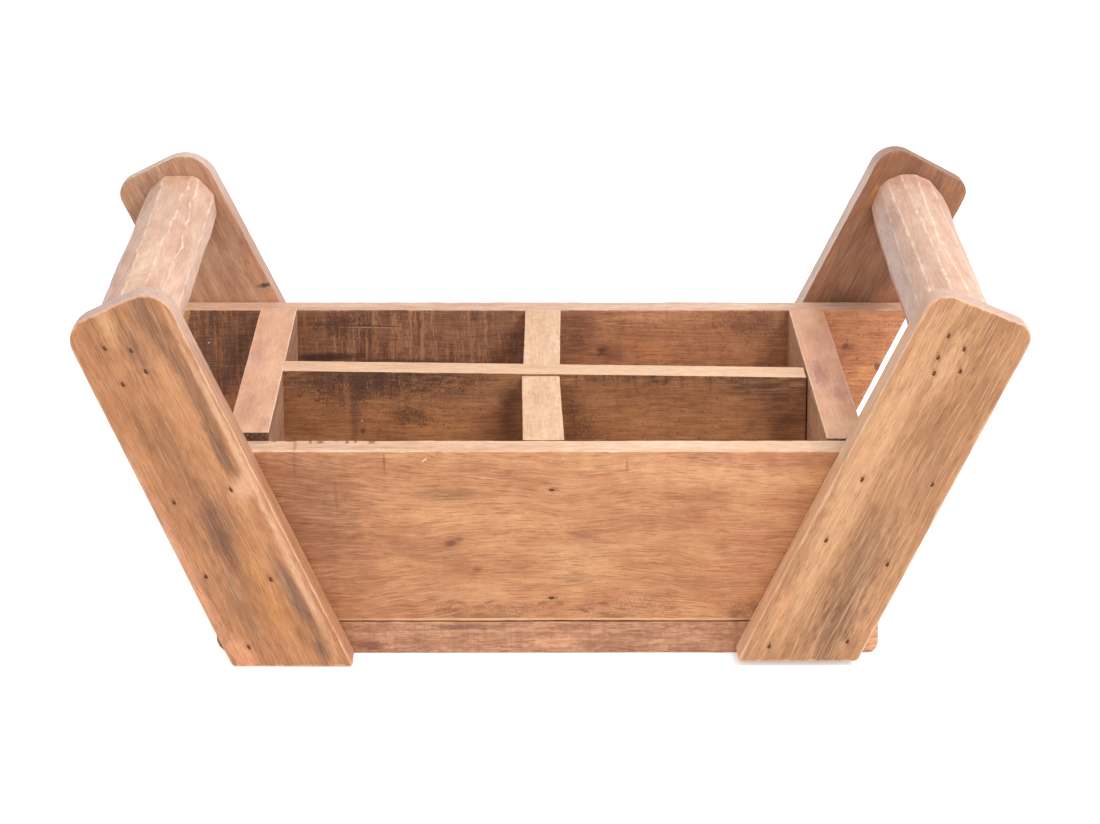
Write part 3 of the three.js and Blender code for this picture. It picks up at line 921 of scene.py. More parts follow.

# %% [markdown]
# ## A finish for wood
# One function makes every wood in the box, as one workshop finished every board. Tones are
# given as on a paint chart, from 0 to 255, from the darkest to the lightest ring. The layers
# lie as they came to be: stains soaked into the wood, then its fibre, pale streaks and pores,
# then the saw marks, then knots, scars and flecks, then grit, and last the pale worn edges,
# which are partly painted highlight. A few of the stains and marks are painted shade and
# painted light, named where they are placed.
# The fibre and the pores also sink in the bump, and make the gloss duller.

# %% Turn tones into colours
def tone(*chart):
    """A paint-chart colour as linear light."""
    shares = [c / 255 for c in chart]
    return (*(c / 12.92 if c < 0.0405 else ((c + 0.055) / 1.055) ** 2.4 for c in shares), 1)


def ring_colours(tree, value, tones):
    """A colour ramp with evenly spaced tones from dark to light."""
    node = tree.nodes.new("ShaderNodeValToRGB")
    stops = node.color_ramp.elements
    while len(stops) < len(tones):
        stops.new(0.5)
    for i, chart in enumerate(tones):
        stops[i].position = i / (len(tones) - 1)
        stops[i].color = tone(*chart)
    feed(tree, value, node.inputs[0])
    return node.outputs[0]


def paint(tree, colour, mask, strength, chart):
    """Lays a tone over a colour where the mask is."""
    return blend(tree, maths(tree, "MULTIPLY", mask, strength), colour, tone(*chart))


print("mid grey as light:", round(tone(128, 128, 128)[0], 3))

# %% [markdown]
# ### Layers from lists
# The stains, the saw marks and the grit of a piece are kept as lists. Each function below goes
# down one list and lays one more tone over the colour, so that a stain is added by writing a
# line, not by building nodes. A stain goes right through the board unless it is given a depth.

# %% Write the layers of the finish
STAIN_DEPTH = 500.0
SAW_PATCH_RAGGED, SAW_PATCH_SOFT = 0.4, 0.6


def spot(tree, name, space, place, size, **values):
    """The mask of a stain or a patch of grit, with a depth if none is given."""
    place, size = (*place, 0.0)[:3], (*size, STAIN_DEPTH)[:3]
    return use_group(tree, name, Vector=space, Place=place, Size=size, **values)["Mask"]


def add_stains(tree, colour, space, stains):
    """Each stain has a tone, a strength, a middle, a half length and half width, a turn in
    degrees, and how ragged and soft its edge is."""
    for chart, strength, place, size, turn, ragged, soft in stains:
        turn = -math.radians(turn)
        mask = spot(tree, "Stain", space, place, size, Turn=turn, Ragged=ragged, Soft=soft)
        colour = paint(tree, colour, mask, strength, chart)
    return colour


def add_grit(tree, colour, space, patches):
    """Each patch has a tone, a strength, a middle, a half length and half width, and how
    crowded its grains are."""
    for chart, strength, place, size, crowd in patches:
        colour = paint(tree, colour, spot(tree, "Grit", space, place, size, Crowd=crowd), strength, chart)
    return colour


def add_saws(tree, colour, space, patches):
    """Each patch of saw marks has a tone, a strength, a middle, a half length and half width,
    and the gap between marks."""
    for chart, strength, place, size, gap in patches:
        patch = spot(tree, "Stain", space, place, size, Ragged=SAW_PATCH_RAGGED, Soft=SAW_PATCH_SOFT)
        marks = use_group(tree, "Saw marks", Vector=space, Gap=gap)["Mask"]
        colour = paint(tree, colour, maths(tree, "MULTIPLY", marks, patch), strength, chart)
    return colour


print("a stain reaches", STAIN_DEPTH, "mm into the wood")

# %% [markdown]
# ### One function for every wood
# The usual values below describe an ordinary board. Each finish names only what differs, so
# two woods can be compared at a glance. The grain's tone and the slow clouds are mixed before
# they pick a colour from the ramp, which keeps every colour one that the wood really has.

# %% Write the wood finish
WOOD = {
    "seed": 1.0, "ring_gap": 5.0, "wander": 6.0, "fan": 0.0, "heart": (0.0, -70.0, -40.0),
    "fibre": 0.35, "fibre_tint": (166, 138, 126), "pores": 0.42, "pore_length": 6.5, "pore_share": 0.5,
    "pore_tone": (112, 70, 48), "streaks": 0.12, "streak_tone": (240, 196, 154), "clouds": 0.4,
    "cloud_size": (38.0, 12.0, 12.0), "mottle": 0.3, "mottle_size": (7.0, 4.0, 4.0),
    "mottle_tint": (192, 168, 156), "arris": 0.0, "arris_reach": 0.4, "arris_ragged": 0.4,
    "arris_tone": (240, 205, 175), "roughness": 0.47, "bump": 0.4, "stains": (), "saws": (), "marks": (),
    "grit": (),
}
MOTTLE_SEED = 7
FIBRE_SUNK, PORE_SUNK = -0.05, -0.09
FIBRE_DULL, PORE_DULL = 0.08, 0.2


def wood(name, piece, tones, **changes):
    """A wood material for one side of a piece; changes override the usual values."""
    look = {**WOOD, **changes}
    material, tree, shader = new_material(name)
    place, along, across = (tuple(v) for v in GRAIN[piece])
    space = use_group(tree, "Grain space", Place=place, Along=along, Across=across)["Vector"]
    grain = use_group(
        tree, "Wood grain", Vector=space, Seed=look["seed"], Ring_Gap=look["ring_gap"], Wander=look["wander"],
        Fan=look["fan"], Heart=look["heart"], Pore_Length=look["pore_length"], Pore_Share=look["pore_share"],
    )
    clouds = use_group(tree, "Clouds", Vector=space, Seed=look["seed"], Size=look["cloud_size"])["Mask"]
    mottle_seed = look["seed"] + MOTTLE_SEED
    mottle = use_group(tree, "Clouds", Vector=space, Seed=mottle_seed, Size=look["mottle_size"])["Mask"]
    apart = maths(tree, "SUBTRACT", clouds, grain["Tone"])
    colour = ring_colours(tree, maths(tree, "MULTIPLY_ADD", apart, look["clouds"], grain["Tone"]), tones)
    colour = add_stains(tree, colour, space, look["stains"])
    for mask, label in ((mottle, "mottle"), (grain["Fibre"], "fibre")):
        mask = maths(tree, "MULTIPLY", mask, look[label])
        colour = blend(tree, mask, colour, tone(*look[label + "_tint"]), "MULTIPLY")
    for label, one in (("Streaks", "streak"), ("Pores", "pore")):
        colour = paint(tree, colour, grain[label], look[one + "s"], look[one + "_tone"])
    colour = add_saws(tree, colour, space, look["saws"])
    colour = add_stains(tree, colour, space, look["marks"])
    colour = add_grit(tree, colour, space, look["grit"])
    # the pale line along the arrises: partly wear, partly painted highlight
    if look["arris"]:
        reach, ragged = look["arris_reach"], look["arris_ragged"]
        worn = use_group(tree, "Worn arris and highlight", Vector=space, Reach=reach, Ragged=ragged)["Mask"]
        colour = paint(tree, colour, worn, look["arris"], look["arris_tone"])
    feed(tree, colour, shader.inputs["Base Color"])
    fibre_dull = maths(tree, "MULTIPLY", grain["Fibre"], FIBRE_DULL)
    pore_dull = maths(tree, "MULTIPLY", grain["Pores"], PORE_DULL)
    dull = maths(tree, "ADD", maths(tree, "ADD", fibre_dull, pore_dull), look["roughness"])
    feed(tree, dull, shader.inputs["Roughness"])
    height = maths(tree, "MULTIPLY", grain["Fibre"], FIBRE_SUNK)
    add_bump(tree, shader, maths(tree, "MULTIPLY_ADD", grain["Pores"], PORE_SUNK, height), MM, look["bump"])
    return material


print("usual values for a wood:", len(WOOD))

# %% [markdown]
# ## The sides of a piece
# Each piece gets a finish for each of its sides: the face turned to the front, the face
# turned to the back, the upper edge, the lower edge and the ends. The sides are found by
# comparing each small face's normal with the grain directions of the piece.

# %% Choose the sides of a piece
SIDES = ("front", "back", "upper", "lower", "far_end", "near_end")


def dress(name, finishes):
    """Gives a piece one material for each side; the usual one fills the sides not named."""
    mesh = wood_pieces[name].data
    _, along, across = GRAIN[name]
    into = np.cross(along, across)
    for material in finishes.values():
        if material.name not in mesh.materials:
            mesh.materials.append(material)
    places = [mesh.materials.find(finishes.get(side, finishes["usual"]).name) for side in SIDES]
    normals = np.empty(3 * len(mesh.polygons))
    mesh.polygons.foreach_get("normal", normals)
    shares = normals.reshape(-1, 3) @ np.array([into, -into, across, -across, along, -along]).T
    mesh.polygons.foreach_set("material_index", np.array(places)[shares.argmax(axis=1)])
    print(name, "has", len(mesh.materials), "finishes")


print("sides:", SIDES)

# %% [markdown]
# ### Nails and the wood round them
# Iron darkens hardwood, so each nail sits in a small brown smudge drawn out along the grain.
# The nails' places are read from the frame, and each becomes a mark in its piece's own grain
# directions.

# %% Find the nails of a piece
SMUDGE_TONE, SMUDGE_STRENGTH, SMUDGE_SIZE = (112, 70, 46), 0.5, (3.6, 1.8)
SMUDGE_SHIFT, SMUDGE_UNEVEN, SMUDGE_TURN = 0.6, 0.5, 4
SMUDGE_EDGE = (0.25, 0.8)
NAIL_REACH = 2 * MM


def nails_of(name):
    """The nails whose boxes meet the box of a piece."""
    low, high = (np.array(corner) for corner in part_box(name))
    found = []
    for nail in sorted(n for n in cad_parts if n.startswith("nail")):
        start, end = (np.array(corner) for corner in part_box(nail))
        if (end > low - NAIL_REACH).all() and (start < high + NAIL_REACH).all():
            found.append(nail)
    return found


def nail_smudges(name):
    """A brown mark for each nail in the broad side of a board."""
    middle, along, across = GRAIN[name]
    smudges = []
    for number, nail in enumerate(nails_of(name)):
        away = (np.mean([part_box(nail)[0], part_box(nail)[1]], axis=0) - middle) / MM
        place = (away @ along + SMUDGE_SHIFT, away @ across)
        swings = [noise.noise((number * 2.7, i, len(name))) for i in range(2)]
        size = tuple(s * (1 + SMUDGE_UNEVEN * n) for s, n in zip(SMUDGE_SIZE, swings))
        smudges.append((SMUDGE_TONE, SMUDGE_STRENGTH, place, size, SMUDGE_TURN * number, *SMUDGE_EDGE))
    return smudges


print("nails in the left front leg:", len(nails_of("leg_front_left")))

# %% [markdown]
# ### The finishes, piece by piece
# The woods belong together but no two are alike: they come from different old boards.
# Stains are placed as they lie on the real box, in millimetres from the middle of the piece.
# On a broad side a stain needs two numbers for its place and two for its size. On an upper
# edge it has a third, which counts into the wood. The front board is the face of the box: one
# wide plank whose rings fan out to the left, with a small knot, a few upright scratches and a
# stained lower edge.

# %% Place the stains of the front board
FRONT_TONES = [(172, 111, 72), (189, 128, 84), (199, 141, 94), (207, 152, 104)]
FRONT_STAINS = [
    ((134, 82, 54), 0.6, (-128, 0), (60, 90), 0, 0.4, 0.9),
    ((148, 94, 62), 0.45, (-112, 14), (30, 34), 0, 0.8, 0.9),
    ((222, 164, 116), 0.5, (-30, 8), (50, 16), 4, 0.6, 0.9),
    ((226, 168, 122), 0.5, (70, 34), (80, 12), -4, 0.6, 0.9),
    ((150, 98, 64), 0.4, (78, -24), (50, 3), -3, 0.8, 0.9),
    ((140, 91, 57), 0.55, (-46, 22), (26, 4.2), 4, 0.6, 0.8),
    ((140, 91, 61), 0.45, (-62, -8), (24, 5), -8, 0.8, 0.8),
    ((211, 156, 109), 0.5, (-42, -30), (40, 9), 0, 0.6, 0.9),
    ((140, 91, 59), 0.45, (14, -21), (16, 3.0), 3, 0.8, 0.8),
    ((217, 165, 118), 0.4, (20, -8), (40, 10), 6, 0.5, 0.9),
    ((119, 74, 47), 0.5, (-30, -41), (22, 2.2), 0, 1.0, 0.6),
    ((123, 78, 50), 0.5, (36, -40.5), (12, 2.6), 0, 1.0, 0.6),
    ((116, 70, 45), 0.6, (94, -40), (6, 3.0), 0, 0.8, 0.6),
]
FRONT_MARKS = [
    ((112, 66, 43), 0.35, (-122.8, 38), (1.5, 14), 0, 0.3, 0.9),
    ((97, 55, 34), 0.55, (-79, 38), (0.9, 6.5), 2, 0.1, 0.7),
    ((114, 68, 45), 0.4, (-102.5, 19), (1.6, 12), 4, 0.25, 0.9),
    ((140, 85, 57), 0.5, (-47, -3.4), (12, 5), 14, 0.5, 0.95),
    ((97, 53, 38), 0.8, (-46.5, -3.6), (4.6, 2.6), 12, 0.3, 0.8),
    ((104, 57, 40), 0.6, (-42.5, -1.4), (2.8, 1.6), 0, 0.3, 0.8),
    ((125, 87, 61), 0.5, (18, 0.6), (12, 1.6), -12, 0.7, 0.9),
    ((104, 64, 41), 0.6, (-34, -17), (3, 1.6), 0, 0.6, 0.9),
    ((225, 175, 130), 0.8, (0, -42.6), (170, 1.0), 0, 0.2, 0.6),
    ((236, 205, 157), 0.9, (-59.4, 39), (2.0, 0.4), 36, 0.0, 0.4),
    ((221, 173, 127), 0.5, (-30, 30), (18, 0.5), -7, 0.15, 0.8),
    ((121, 78, 48), 0.5, (39.6, 36), (0.8, 5.5), 0, 0.2, 0.7),
]
print("front board stains and marks placed:", len(FRONT_STAINS), len(FRONT_MARKS))

# %% [markdown]
# ### The face and the top of the front board
# The plane chattered near the left leg, the lower edge is rough, and the top is nicked. Such
# marks are too many to place one by one, so they are strewn in rows and moved about by smooth
# noise, which gives the same marks every time.

# %% Dress the front board
CHATTER, CHATTER_START, CHATTER_GAP, CHATTER_ROW = 9, (-110, 19), 3.4, 5
ROUGH, ROUGH_START, ROUGH_GAP = 20, (-52, -36.5), 6.2
NICKS, NICK_START, NICK_GAP = 9, (-134, 43.5, -9), 6
for i in range(CHATTER):
    x, y, wide, tall = (noise.noise((i * 2.3, 4 * k, 1.5)) for k in range(4))
    place = (CHATTER_START[0] + CHATTER_GAP * (i % CHATTER_ROW) + 3 * x, CHATTER_START[1] + 22 * y)
    size = (0.8 + 0.5 * wide, 7 + 6 * tall)
    FRONT_MARKS.append(((123, 78, 52), 0.3 + 0.2 * wide, place, size, 5, 0.4, 0.95))
for i in range(ROUGH):
    x, y, wide, tall, turn = (noise.noise((i * 1.7, 4 * k, 9.5)) for k in range(5))
    place = (ROUGH_START[0] + ROUGH_GAP * i + 6 * x, ROUGH_START[1] + 5 * y)
    size = (3.4 + 3 * wide, 1.3 + tall)
    FRONT_MARKS.append(((118, 70, 44), 0.5 + 0.4 * wide, place, size, 40 * turn, 0.7, 0.8))
FRONT_MARKS += nail_smudges("front_board")
FRONT_GRIT = [
    ((118, 72, 46), 0.4, (-24, -37), (46, 5), 0.8),
    ((124, 76, 50), 0.4, (44, -34), (36, 8), 0.65),
    ((116, 70, 46), 0.5, (98, -37), (14, 6), 0.8),
]
front = wood(
    "front_board_face", "front_board", FRONT_TONES, seed=3.0, fan=0.13, heart=(0.0, -18.0, -95.0),
    wander=10.0, clouds=0.5, cloud_size=(30.0, 12.0, 12.0), fibre=0.16, pore_length=12.0, pore_share=0.68,
    pore_tone=(124, 76, 48), stains=FRONT_STAINS, marks=FRONT_MARKS, grit=FRONT_GRIT, arris=0.85,
    arris_reach=0.16, arris_ragged=0.2, arris_tone=(236, 207, 168), streaks=0.15,
)
CREAM_TONES = [(226, 176, 142), (244, 203, 168), (254, 220, 188)]
nicks = []
for i in range(NICKS):
    x, wide, deep = (noise.noise((i * 3.1, 5 * k, 2.5)) for k in range(3))
    place = (NICK_START[0] + NICK_GAP * i + 4 * x, NICK_START[1], NICK_START[2] + 1.2 * deep)
    nicks.append(((112, 70, 50), 0.85, place, (1.8 + 1.8 * wide, 9, 4 + 4 * deep), 0, 0.4, 0.7))
cream = wood(
    "front_board_top", "front_board", CREAM_TONES, seed=5.0, fibre=0.2, pores=0.12, arris=0.8,
    arris_reach=0.1, arris_ragged=0.2, arris_tone=(255, 236, 214),
    stains=[
        ((214, 160, 132), 0.5, (-90, 43.5, 4), (120, 9, 5), 0, 0.6, 0.9),
        ((206, 150, 118), 0.4, (-110, 43.5, 0), (60, 9, 14), 0, 0.8, 0.9),
    ],
    marks=[((150, 96, 70), 0.5, (-122.8, 43.5, 0), (1.2, 9, 20), 0, 0.3, 0.8), *nicks],
)
dress("front_board", {"usual": front, "upper": cream})

# %% [markdown]
# ### The back board
# Only its inner face, its top and its two outer ends show. The left half is dark and still has
# the marks of the saw, with dirt in them, and one long crack. The right half is paler, with a
# knot. Two dark lines low on the left half, just above the long partition, are painted shade in
# the depth of the back compartment. All of it is laid over one plain wood as stains, saw marks,
# scars, painted shade and grit, so that each can be moved or left out by itself. The outer face
# isn't in the picture and stays plain.

# %% Dress the back board
BACK_STAINS = [
    ((206, 142, 98), 0.75, (78, 14), (80, 60), 0, 0.3, 0.5),
    ((236, 176, 134), 0.5, (66, 40), (54, 8), 0, 0.6, 0.9),
    ((150, 104, 84), 0.45, (118, 36), (18, 12), 0, 0.7, 0.9),
    ((118, 76, 56), 0.55, (-70, 20), (84, 70), 0, 0.3, 0.5),
    ((103, 55, 28), 0.85, (-192, 20), (46, 80), 0, 0.3, 0.5),
    ((84, 50, 42), 0.75, (-113, 35), (12, 6), 0, 0.6, 0.9),
    ((188, 132, 98), 0.4, (-58, 30), (44, 30), 0, 0.8, 0.9),
    ((120, 74, 54), 0.5, (20, 28), (12, 22), 0, 0.6, 0.9),
    ((221, 145, 90), 0.5, (60, 20), (28, 8), -12, 0.6, 0.9),
    ((104, 64, 44), 0.55, (-180, 18), (20, 12), 0, 0.8, 0.9),
    ((255, 185, 110), 0.6, (-200, 41), (3, 6), 0, 0.3, 0.6),
    ((226, 146, 90), 0.6, (-172, -14), (12, 20), 0, 0.5, 0.8),
    ((226, 156, 108), 0.8, (180, 20), (34, 60), 0, 0.3, 0.4),
    ((250, 184, 122), 0.55, (178, 6), (18, 8), 20, 0.6, 0.9),
]
BACK_MARKS = [
    ((198, 128, 76), 0.5, (-191, -2), (8, 16), 0, 0.5, 0.8),
    ((82, 50, 33), 0.75, (-98, 34.2), (22, 0.45), -1, 0.1, 0.4),
    ((240, 176, 122), 0.5, (-98, 33.2), (20, 0.35), -1, 0.2, 0.5),
    # painted shade: two dark lines low in the back-left compartment, just above the long partition
    ((60, 36, 29), 0.85, (-122, 16), (28, 3.6), 2, 0.3, 0.7),
    ((76, 48, 38), 0.6, (-80, 13.8), (44, 1.6), 0, 0.3, 0.6),
    ((122, 72, 56), 0.6, (38, 17), (14, 7), 0, 0.6, 0.95),
    ((84, 44, 38), 0.85, (32.6, 20), (5.4, 5.0), 20, 0.5, 0.9),
    ((236, 226, 205), 0.7, (-187.6, 24.4), (0.6, 0.6), 0, 0.0, 0.6),
    ((106, 60, 40), 0.8, (169.6, 22.7), (2.6, 2.1), 0, 0.5, 0.8),
    ((150, 92, 60), 0.6, (171, 21), (6, 4), 0, 0.5, 0.9),
    ((120, 68, 46), 0.85, (188, 10), (2.4, 3.6), 20, 0.2, 0.6),
]
BACK_GRIT = [
    ((80, 50, 40), 0.6, (-113, 34), (22, 12), 0.9),
    ((84, 48, 28), 0.5, (-186, 30), (22, 16), 0.8),
    ((96, 58, 42), 0.4, (112, 34), (26, 14), 0.8),
]
BACK_SAWS = [
    ((84, 52, 38), 0.6, (-80, 32), (76, 44), 5.5),
    ((204, 146, 106), 0.6, (-72, 20), (80, 60), 2.2),
    ((70, 40, 20), 0.6, (-184, 26), (40, 44), 5.0),
    ((184, 118, 66), 0.55, (-184, 14), (36, 60), 2.0),
    ((116, 72, 50), 0.3, (70, 46), (70, 8), 3.0),
]
BACK_TONES = [(147, 100, 71), (169, 118, 85), (189, 135, 98)]
BACK_TOP_TONES = [(220, 172, 142), (236, 195, 168), (248, 214, 190)]
sawn_back = wood(
    "back_board_face", "back_board", BACK_TONES, seed=8.0, ring_gap=7.0, clouds=0.5,
    cloud_size=(30.0, 20.0, 20.0), mottle=0.4, mottle_size=(6.0, 6.0, 6.0), stains=BACK_STAINS,
    saws=BACK_SAWS, marks=BACK_MARKS, grit=BACK_GRIT, arris=0.6, arris_reach=0.05, arris_tone=(236, 196, 160),
)
back_top = wood(
    "back_board_top", "back_board", BACK_TOP_TONES, seed=9.0, fibre=0.25, pores=0.12, arris=0.7,
    arris_reach=0.1, arris_tone=(252, 232, 212),
)
plain_back = wood(
    "back_board_rear", "back_board", FRONT_TONES, seed=10.0, wander=7.0, clouds=0.5, mottle=0.45,
    marks=nail_smudges("back_board"),
)
dress("back_board", {"usual": sawn_back, "upper": back_top, "back": plain_back})

# %% [markdown]
# ### The end boards
# Their tops are smooth and pinkish, with broad soft stains, and their faces keep faint marks of
# the saw. Their ends are cut across the grain, and are dark, because open end grain drinks
# dirt. It shows at the front of the left one, which stands a little higher than the front board.

# %% Dress the end boards
ALL_OVER = (300, 300)
END_STAINS = {
    "left": [
        ((236, 182, 142), 0.6, (90, 44, 2), (40, 20, 9), 0, 0.4, 0.9),
        ((190, 134, 110), 0.6, (-80, 44, -3), (44, 20, 8), 0, 0.5, 0.9),
        ((246, 196, 158), 0.55, (-10, 44, 5), (70, 20, 6), 0, 0.4, 0.9),
        ((184, 140, 124), 0.5, (26, 44, -5), (50, 20, 5), 0, 0.5, 0.9),
        ((176, 124, 100), 0.5, (-122, 44, 6), (20, 20, 6), 0, 0.5, 0.9),
    ],
    "right": [
        ((184, 120, 102), 0.75, (-12, 44, -3), (46, 20, 7), 8, 0.5, 0.8),
        ((196, 132, 110), 0.65, (-50, 44, 4), (24, 20, 6), -6, 0.5, 0.8),
        ((208, 150, 126), 0.5, (60, 44, 3), (46, 20, 8), 0, 0.5, 0.9),
        ((240, 194, 154), 0.7, (-118, 44, 0), (34, 20, 14), 0, 0.4, 0.9),
    ],
}
END_TONES = [(217, 154, 118), (232, 174, 138), (242, 192, 160)]
END_GRAIN_TONES = [(92, 62, 44), (126, 88, 64)]
INNER_TONES = {
    "left": [(166, 120, 95), (202, 154, 124), (221, 177, 145)],
    "right": [(199, 148, 112), (233, 184, 143), (241, 198, 162)],
}
INNER_STAINS = {
    "left": [],
    "right": [((255, 208, 158), 0.5, (-90, 10), (80, 60), 0, 0.3, 0.7)],
}
for number, (side, stains) in enumerate(END_STAINS.items()):
    name = f"{side}_end_board"
    inner = wood(
        f"{side}_end_face", name, INNER_TONES[side], seed=11.0 + 3 * number, pores=0.3,
        stains=INNER_STAINS[side], saws=[((150, 106, 82), 0.25, (0, 0), ALL_OVER, 3.0)],
    )
    top = wood(
        f"{side}_end_top", name, END_TONES, seed=12.0 + 3 * number, fibre=0.1, pores=0.05, mottle=0.15,
        clouds=0.6, mottle_size=(24.0, 9.0, 9.0), stains=stains, arris=0.85, arris_reach=0.3,
        arris_ragged=0.2, arris_tone=(252, 220, 192),
    )
    grain_end = wood(
        f"{side}_end_grain", name, END_GRAIN_TONES, seed=13.0 + 3 * number, ring_gap=2.0, bump=0.9,
        grit=[((50, 34, 26), 0.8, (-138, 46), (8, 8), 0.7)],
    )
    dress(name, {"usual": inner, "upper": top, "near_end": grain_end, "far_end": grain_end})

# %% [markdown]
# ### The partitions
# The crossed boards are rough-sawn, dark toward their upper edges where hands and bottles
# rubbed dirt in, with pale tops. On the long one, short dark streaks hang from the edge of its
# right half. They are strewn with smooth noise, so that they come out the same each time. Two
# upright dark bands on the long one, at the right-hand ends of the front compartments, are
# painted shade.

# %% Dress the partitions
HANGING, HANGING_START, HANGING_GAP = 14, (18, 44), 7.6
LONG_STAINS_AND_SHADE = [
    ((206, 140, 88), 0.55, (-60, 14), (90, 22), 0, 0.5, 0.8),
    ((206, 142, 92), 0.5, (74, 12), (70, 24), 0, 0.5, 0.8),
    ((78, 50, 36), 0.8, (-92, 42), (60, 18), 0, 0.8, 0.9),
    ((98, 62, 44), 0.55, (-71, 21), (15, 7), 0, 0.6, 0.9),
    ((108, 68, 46), 0.5, (-40, 45), (34, 8), 0, 1.0, 0.9),
    ((90, 56, 38), 0.75, (118, 38), (30, 14), 0, 0.8, 0.9),
    ((104, 66, 44), 0.6, (60, 45), (66, 8), 0, 1.0, 0.9),
    ((104, 80, 64), 0.6, (-99, 22), (4, 22), 0, 0.4, 0.8),
    ((122, 80, 56), 0.45, (-84, 10), (18, 6), 0, 0.8, 0.9),
    ((116, 76, 54), 0.5, (14, 24), (9, 24), 0, 0.6, 0.9),
    # painted shade: the right-hand end of the front-left compartment, beside the cross partition
    ((90, 54, 36), 0.6, (-18, 22), (8, 26), 0, 0.4, 0.9),
    # painted shade: the right-hand end of the front-right compartment, beside the right end board
    ((112, 68, 42), 0.5, (124, 20), (10, 24), 0, 0.5, 0.9),
]
LONG_MARKS = [
    ((92, 46, 34), 0.8, (-94.8, 13), (2.2, 2.4), 0, 0.3, 0.8),
    ((104, 58, 40), 0.6, (-86, 13.5), (1.4, 1.2), 0, 0.3, 0.8),
    ((236, 214, 186), 0.8, (-95.3, 18.6), (0.5, 0.8), 0, 0.0, 0.6),
]
for i in range(HANGING):
    x, tall, deep = (noise.noise((i * 1.9, 3 * k, 7.5)) for k in range(3))
    place = (HANGING_START[0] + HANGING_GAP * i + 5 * x, HANGING_START[1] - 3 * tall)
    LONG_MARKS.append(((76, 48, 34), 0.6 + 0.3 * deep, place, (1.4 + x, 7 + 7 * tall), 3, 0.4, 0.95))
LONG_GRIT = [
    ((74, 48, 38), 0.6, (-70, 21), (24, 8), 0.75),
    ((74, 48, 38), 0.7, (-86, 40), (66, 16), 0.7),
    ((84, 56, 42), 0.5, (-112, 26), (26, 12), 0.5),
    ((80, 52, 38), 0.5, (20, 16), (12, 16), 0.7),
    ((80, 54, 40), 0.5, (60, 44), (70, 8), 0.7),
]
LONG_SAWS = [
    ((184, 126, 84), 0.5, (-84, 36), (60, 16), 2.4),
    ((78, 50, 38), 0.5, (-90, 40), (60, 14), 2.6),
    ((168, 114, 76), 0.35, (-24, 40), (30, 10), 1.8),
    ((84, 54, 38), 0.5, (70, 44), (72, 9), 2.6),
    ((170, 118, 80), 0.3, (30, 38), (40, 14), 1.8),
]
BOX_TONES = [(146, 96, 62), (172, 118, 76), (188, 132, 89)]
PALE_TONES = [(227, 179, 138), (239, 196, 157), (247, 208, 172)]
for number, name in enumerate(("long_partition", "cross_partition_front", "cross_partition_back")):
    marked = {"saws": [((110, 72, 50), 0.4, (0, 0), ALL_OVER, 3.0)]}
    if name == "long_partition":
        marked = {"stains": LONG_STAINS_AND_SHADE, "saws": LONG_SAWS, "marks": LONG_MARKS, "grit": LONG_GRIT}
    face = wood(
        f"{name}_face", name, BOX_TONES, seed=21.0 + 3 * number, ring_gap=7.0, clouds=0.5,
        cloud_size=(36.0, 14.0, 14.0), mottle=0.35, **marked,
    )
    top = wood(
        f"{name}_top", name, PALE_TONES, seed=22.0 + 3 * number, fibre=0.18, pores=0.08, mottle=0.25,
        arris=0.7, arris_reach=0.12, arris_ragged=0.2, arris_tone=(253, 230, 206),
    )
    dress(name, {"usual": face, "upper": top})

# %% [markdown]
# ### The base planks
# Only the front edge of the first plank shows, as a mottled reddish strip under the front
# board. It was never sanded, so it has small clouds, fine mottling and a few dark stains.

# %% Dress the base planks
STRIP_STAINS = [
    ((136, 75, 59), 0.75, (-86, -4), (11, 3.6), 0, 0.8, 0.7),
    ((160, 104, 80), 0.5, (-64, -1), (14, 5), 0, 0.9, 0.8),
    ((122, 76, 58), 0.7, (-40, 5.6), (21, 2.2), 0, 0.5, 0.6),
    ((146, 88, 66), 0.5, (50, 1), (26, 4.5), 0, 1.0, 0.8),
    ((240, 180, 136), 0.45, (0, -3), (26, 4), 0, 0.7, 0.9),
    ((240, 186, 142), 0.6, (104, 0), (9, 9), 0, 0.4, 0.8),
    ((250, 198, 158), 0.75, (158, 0), (12, 12), 0, 0.2, 0.6),
]
BASE_TONES = [(164, 110, 81), (193, 140, 105), (210, 159, 122)]
for number, name in enumerate(("base_plank_front", "base_plank_middle", "base_plank_back")):
    rough = wood(
        f"{name}_rough", name, BASE_TONES, seed=31.0 + number, clouds=0.6, cloud_size=(14.0, 5.0, 5.0),
        mottle=0.5, mottle_size=(3.0, 1.6, 1.6), stains=STRIP_STAINS if name == "base_plank_front" else (),
        saws=[((120, 76, 56), 0.2, (0, 0), ALL_OVER, 2.5)], arris=0.6, arris_reach=0.1,
        arris_tone=(244, 200, 162),
    )
    dress(name, {"usual": rough})
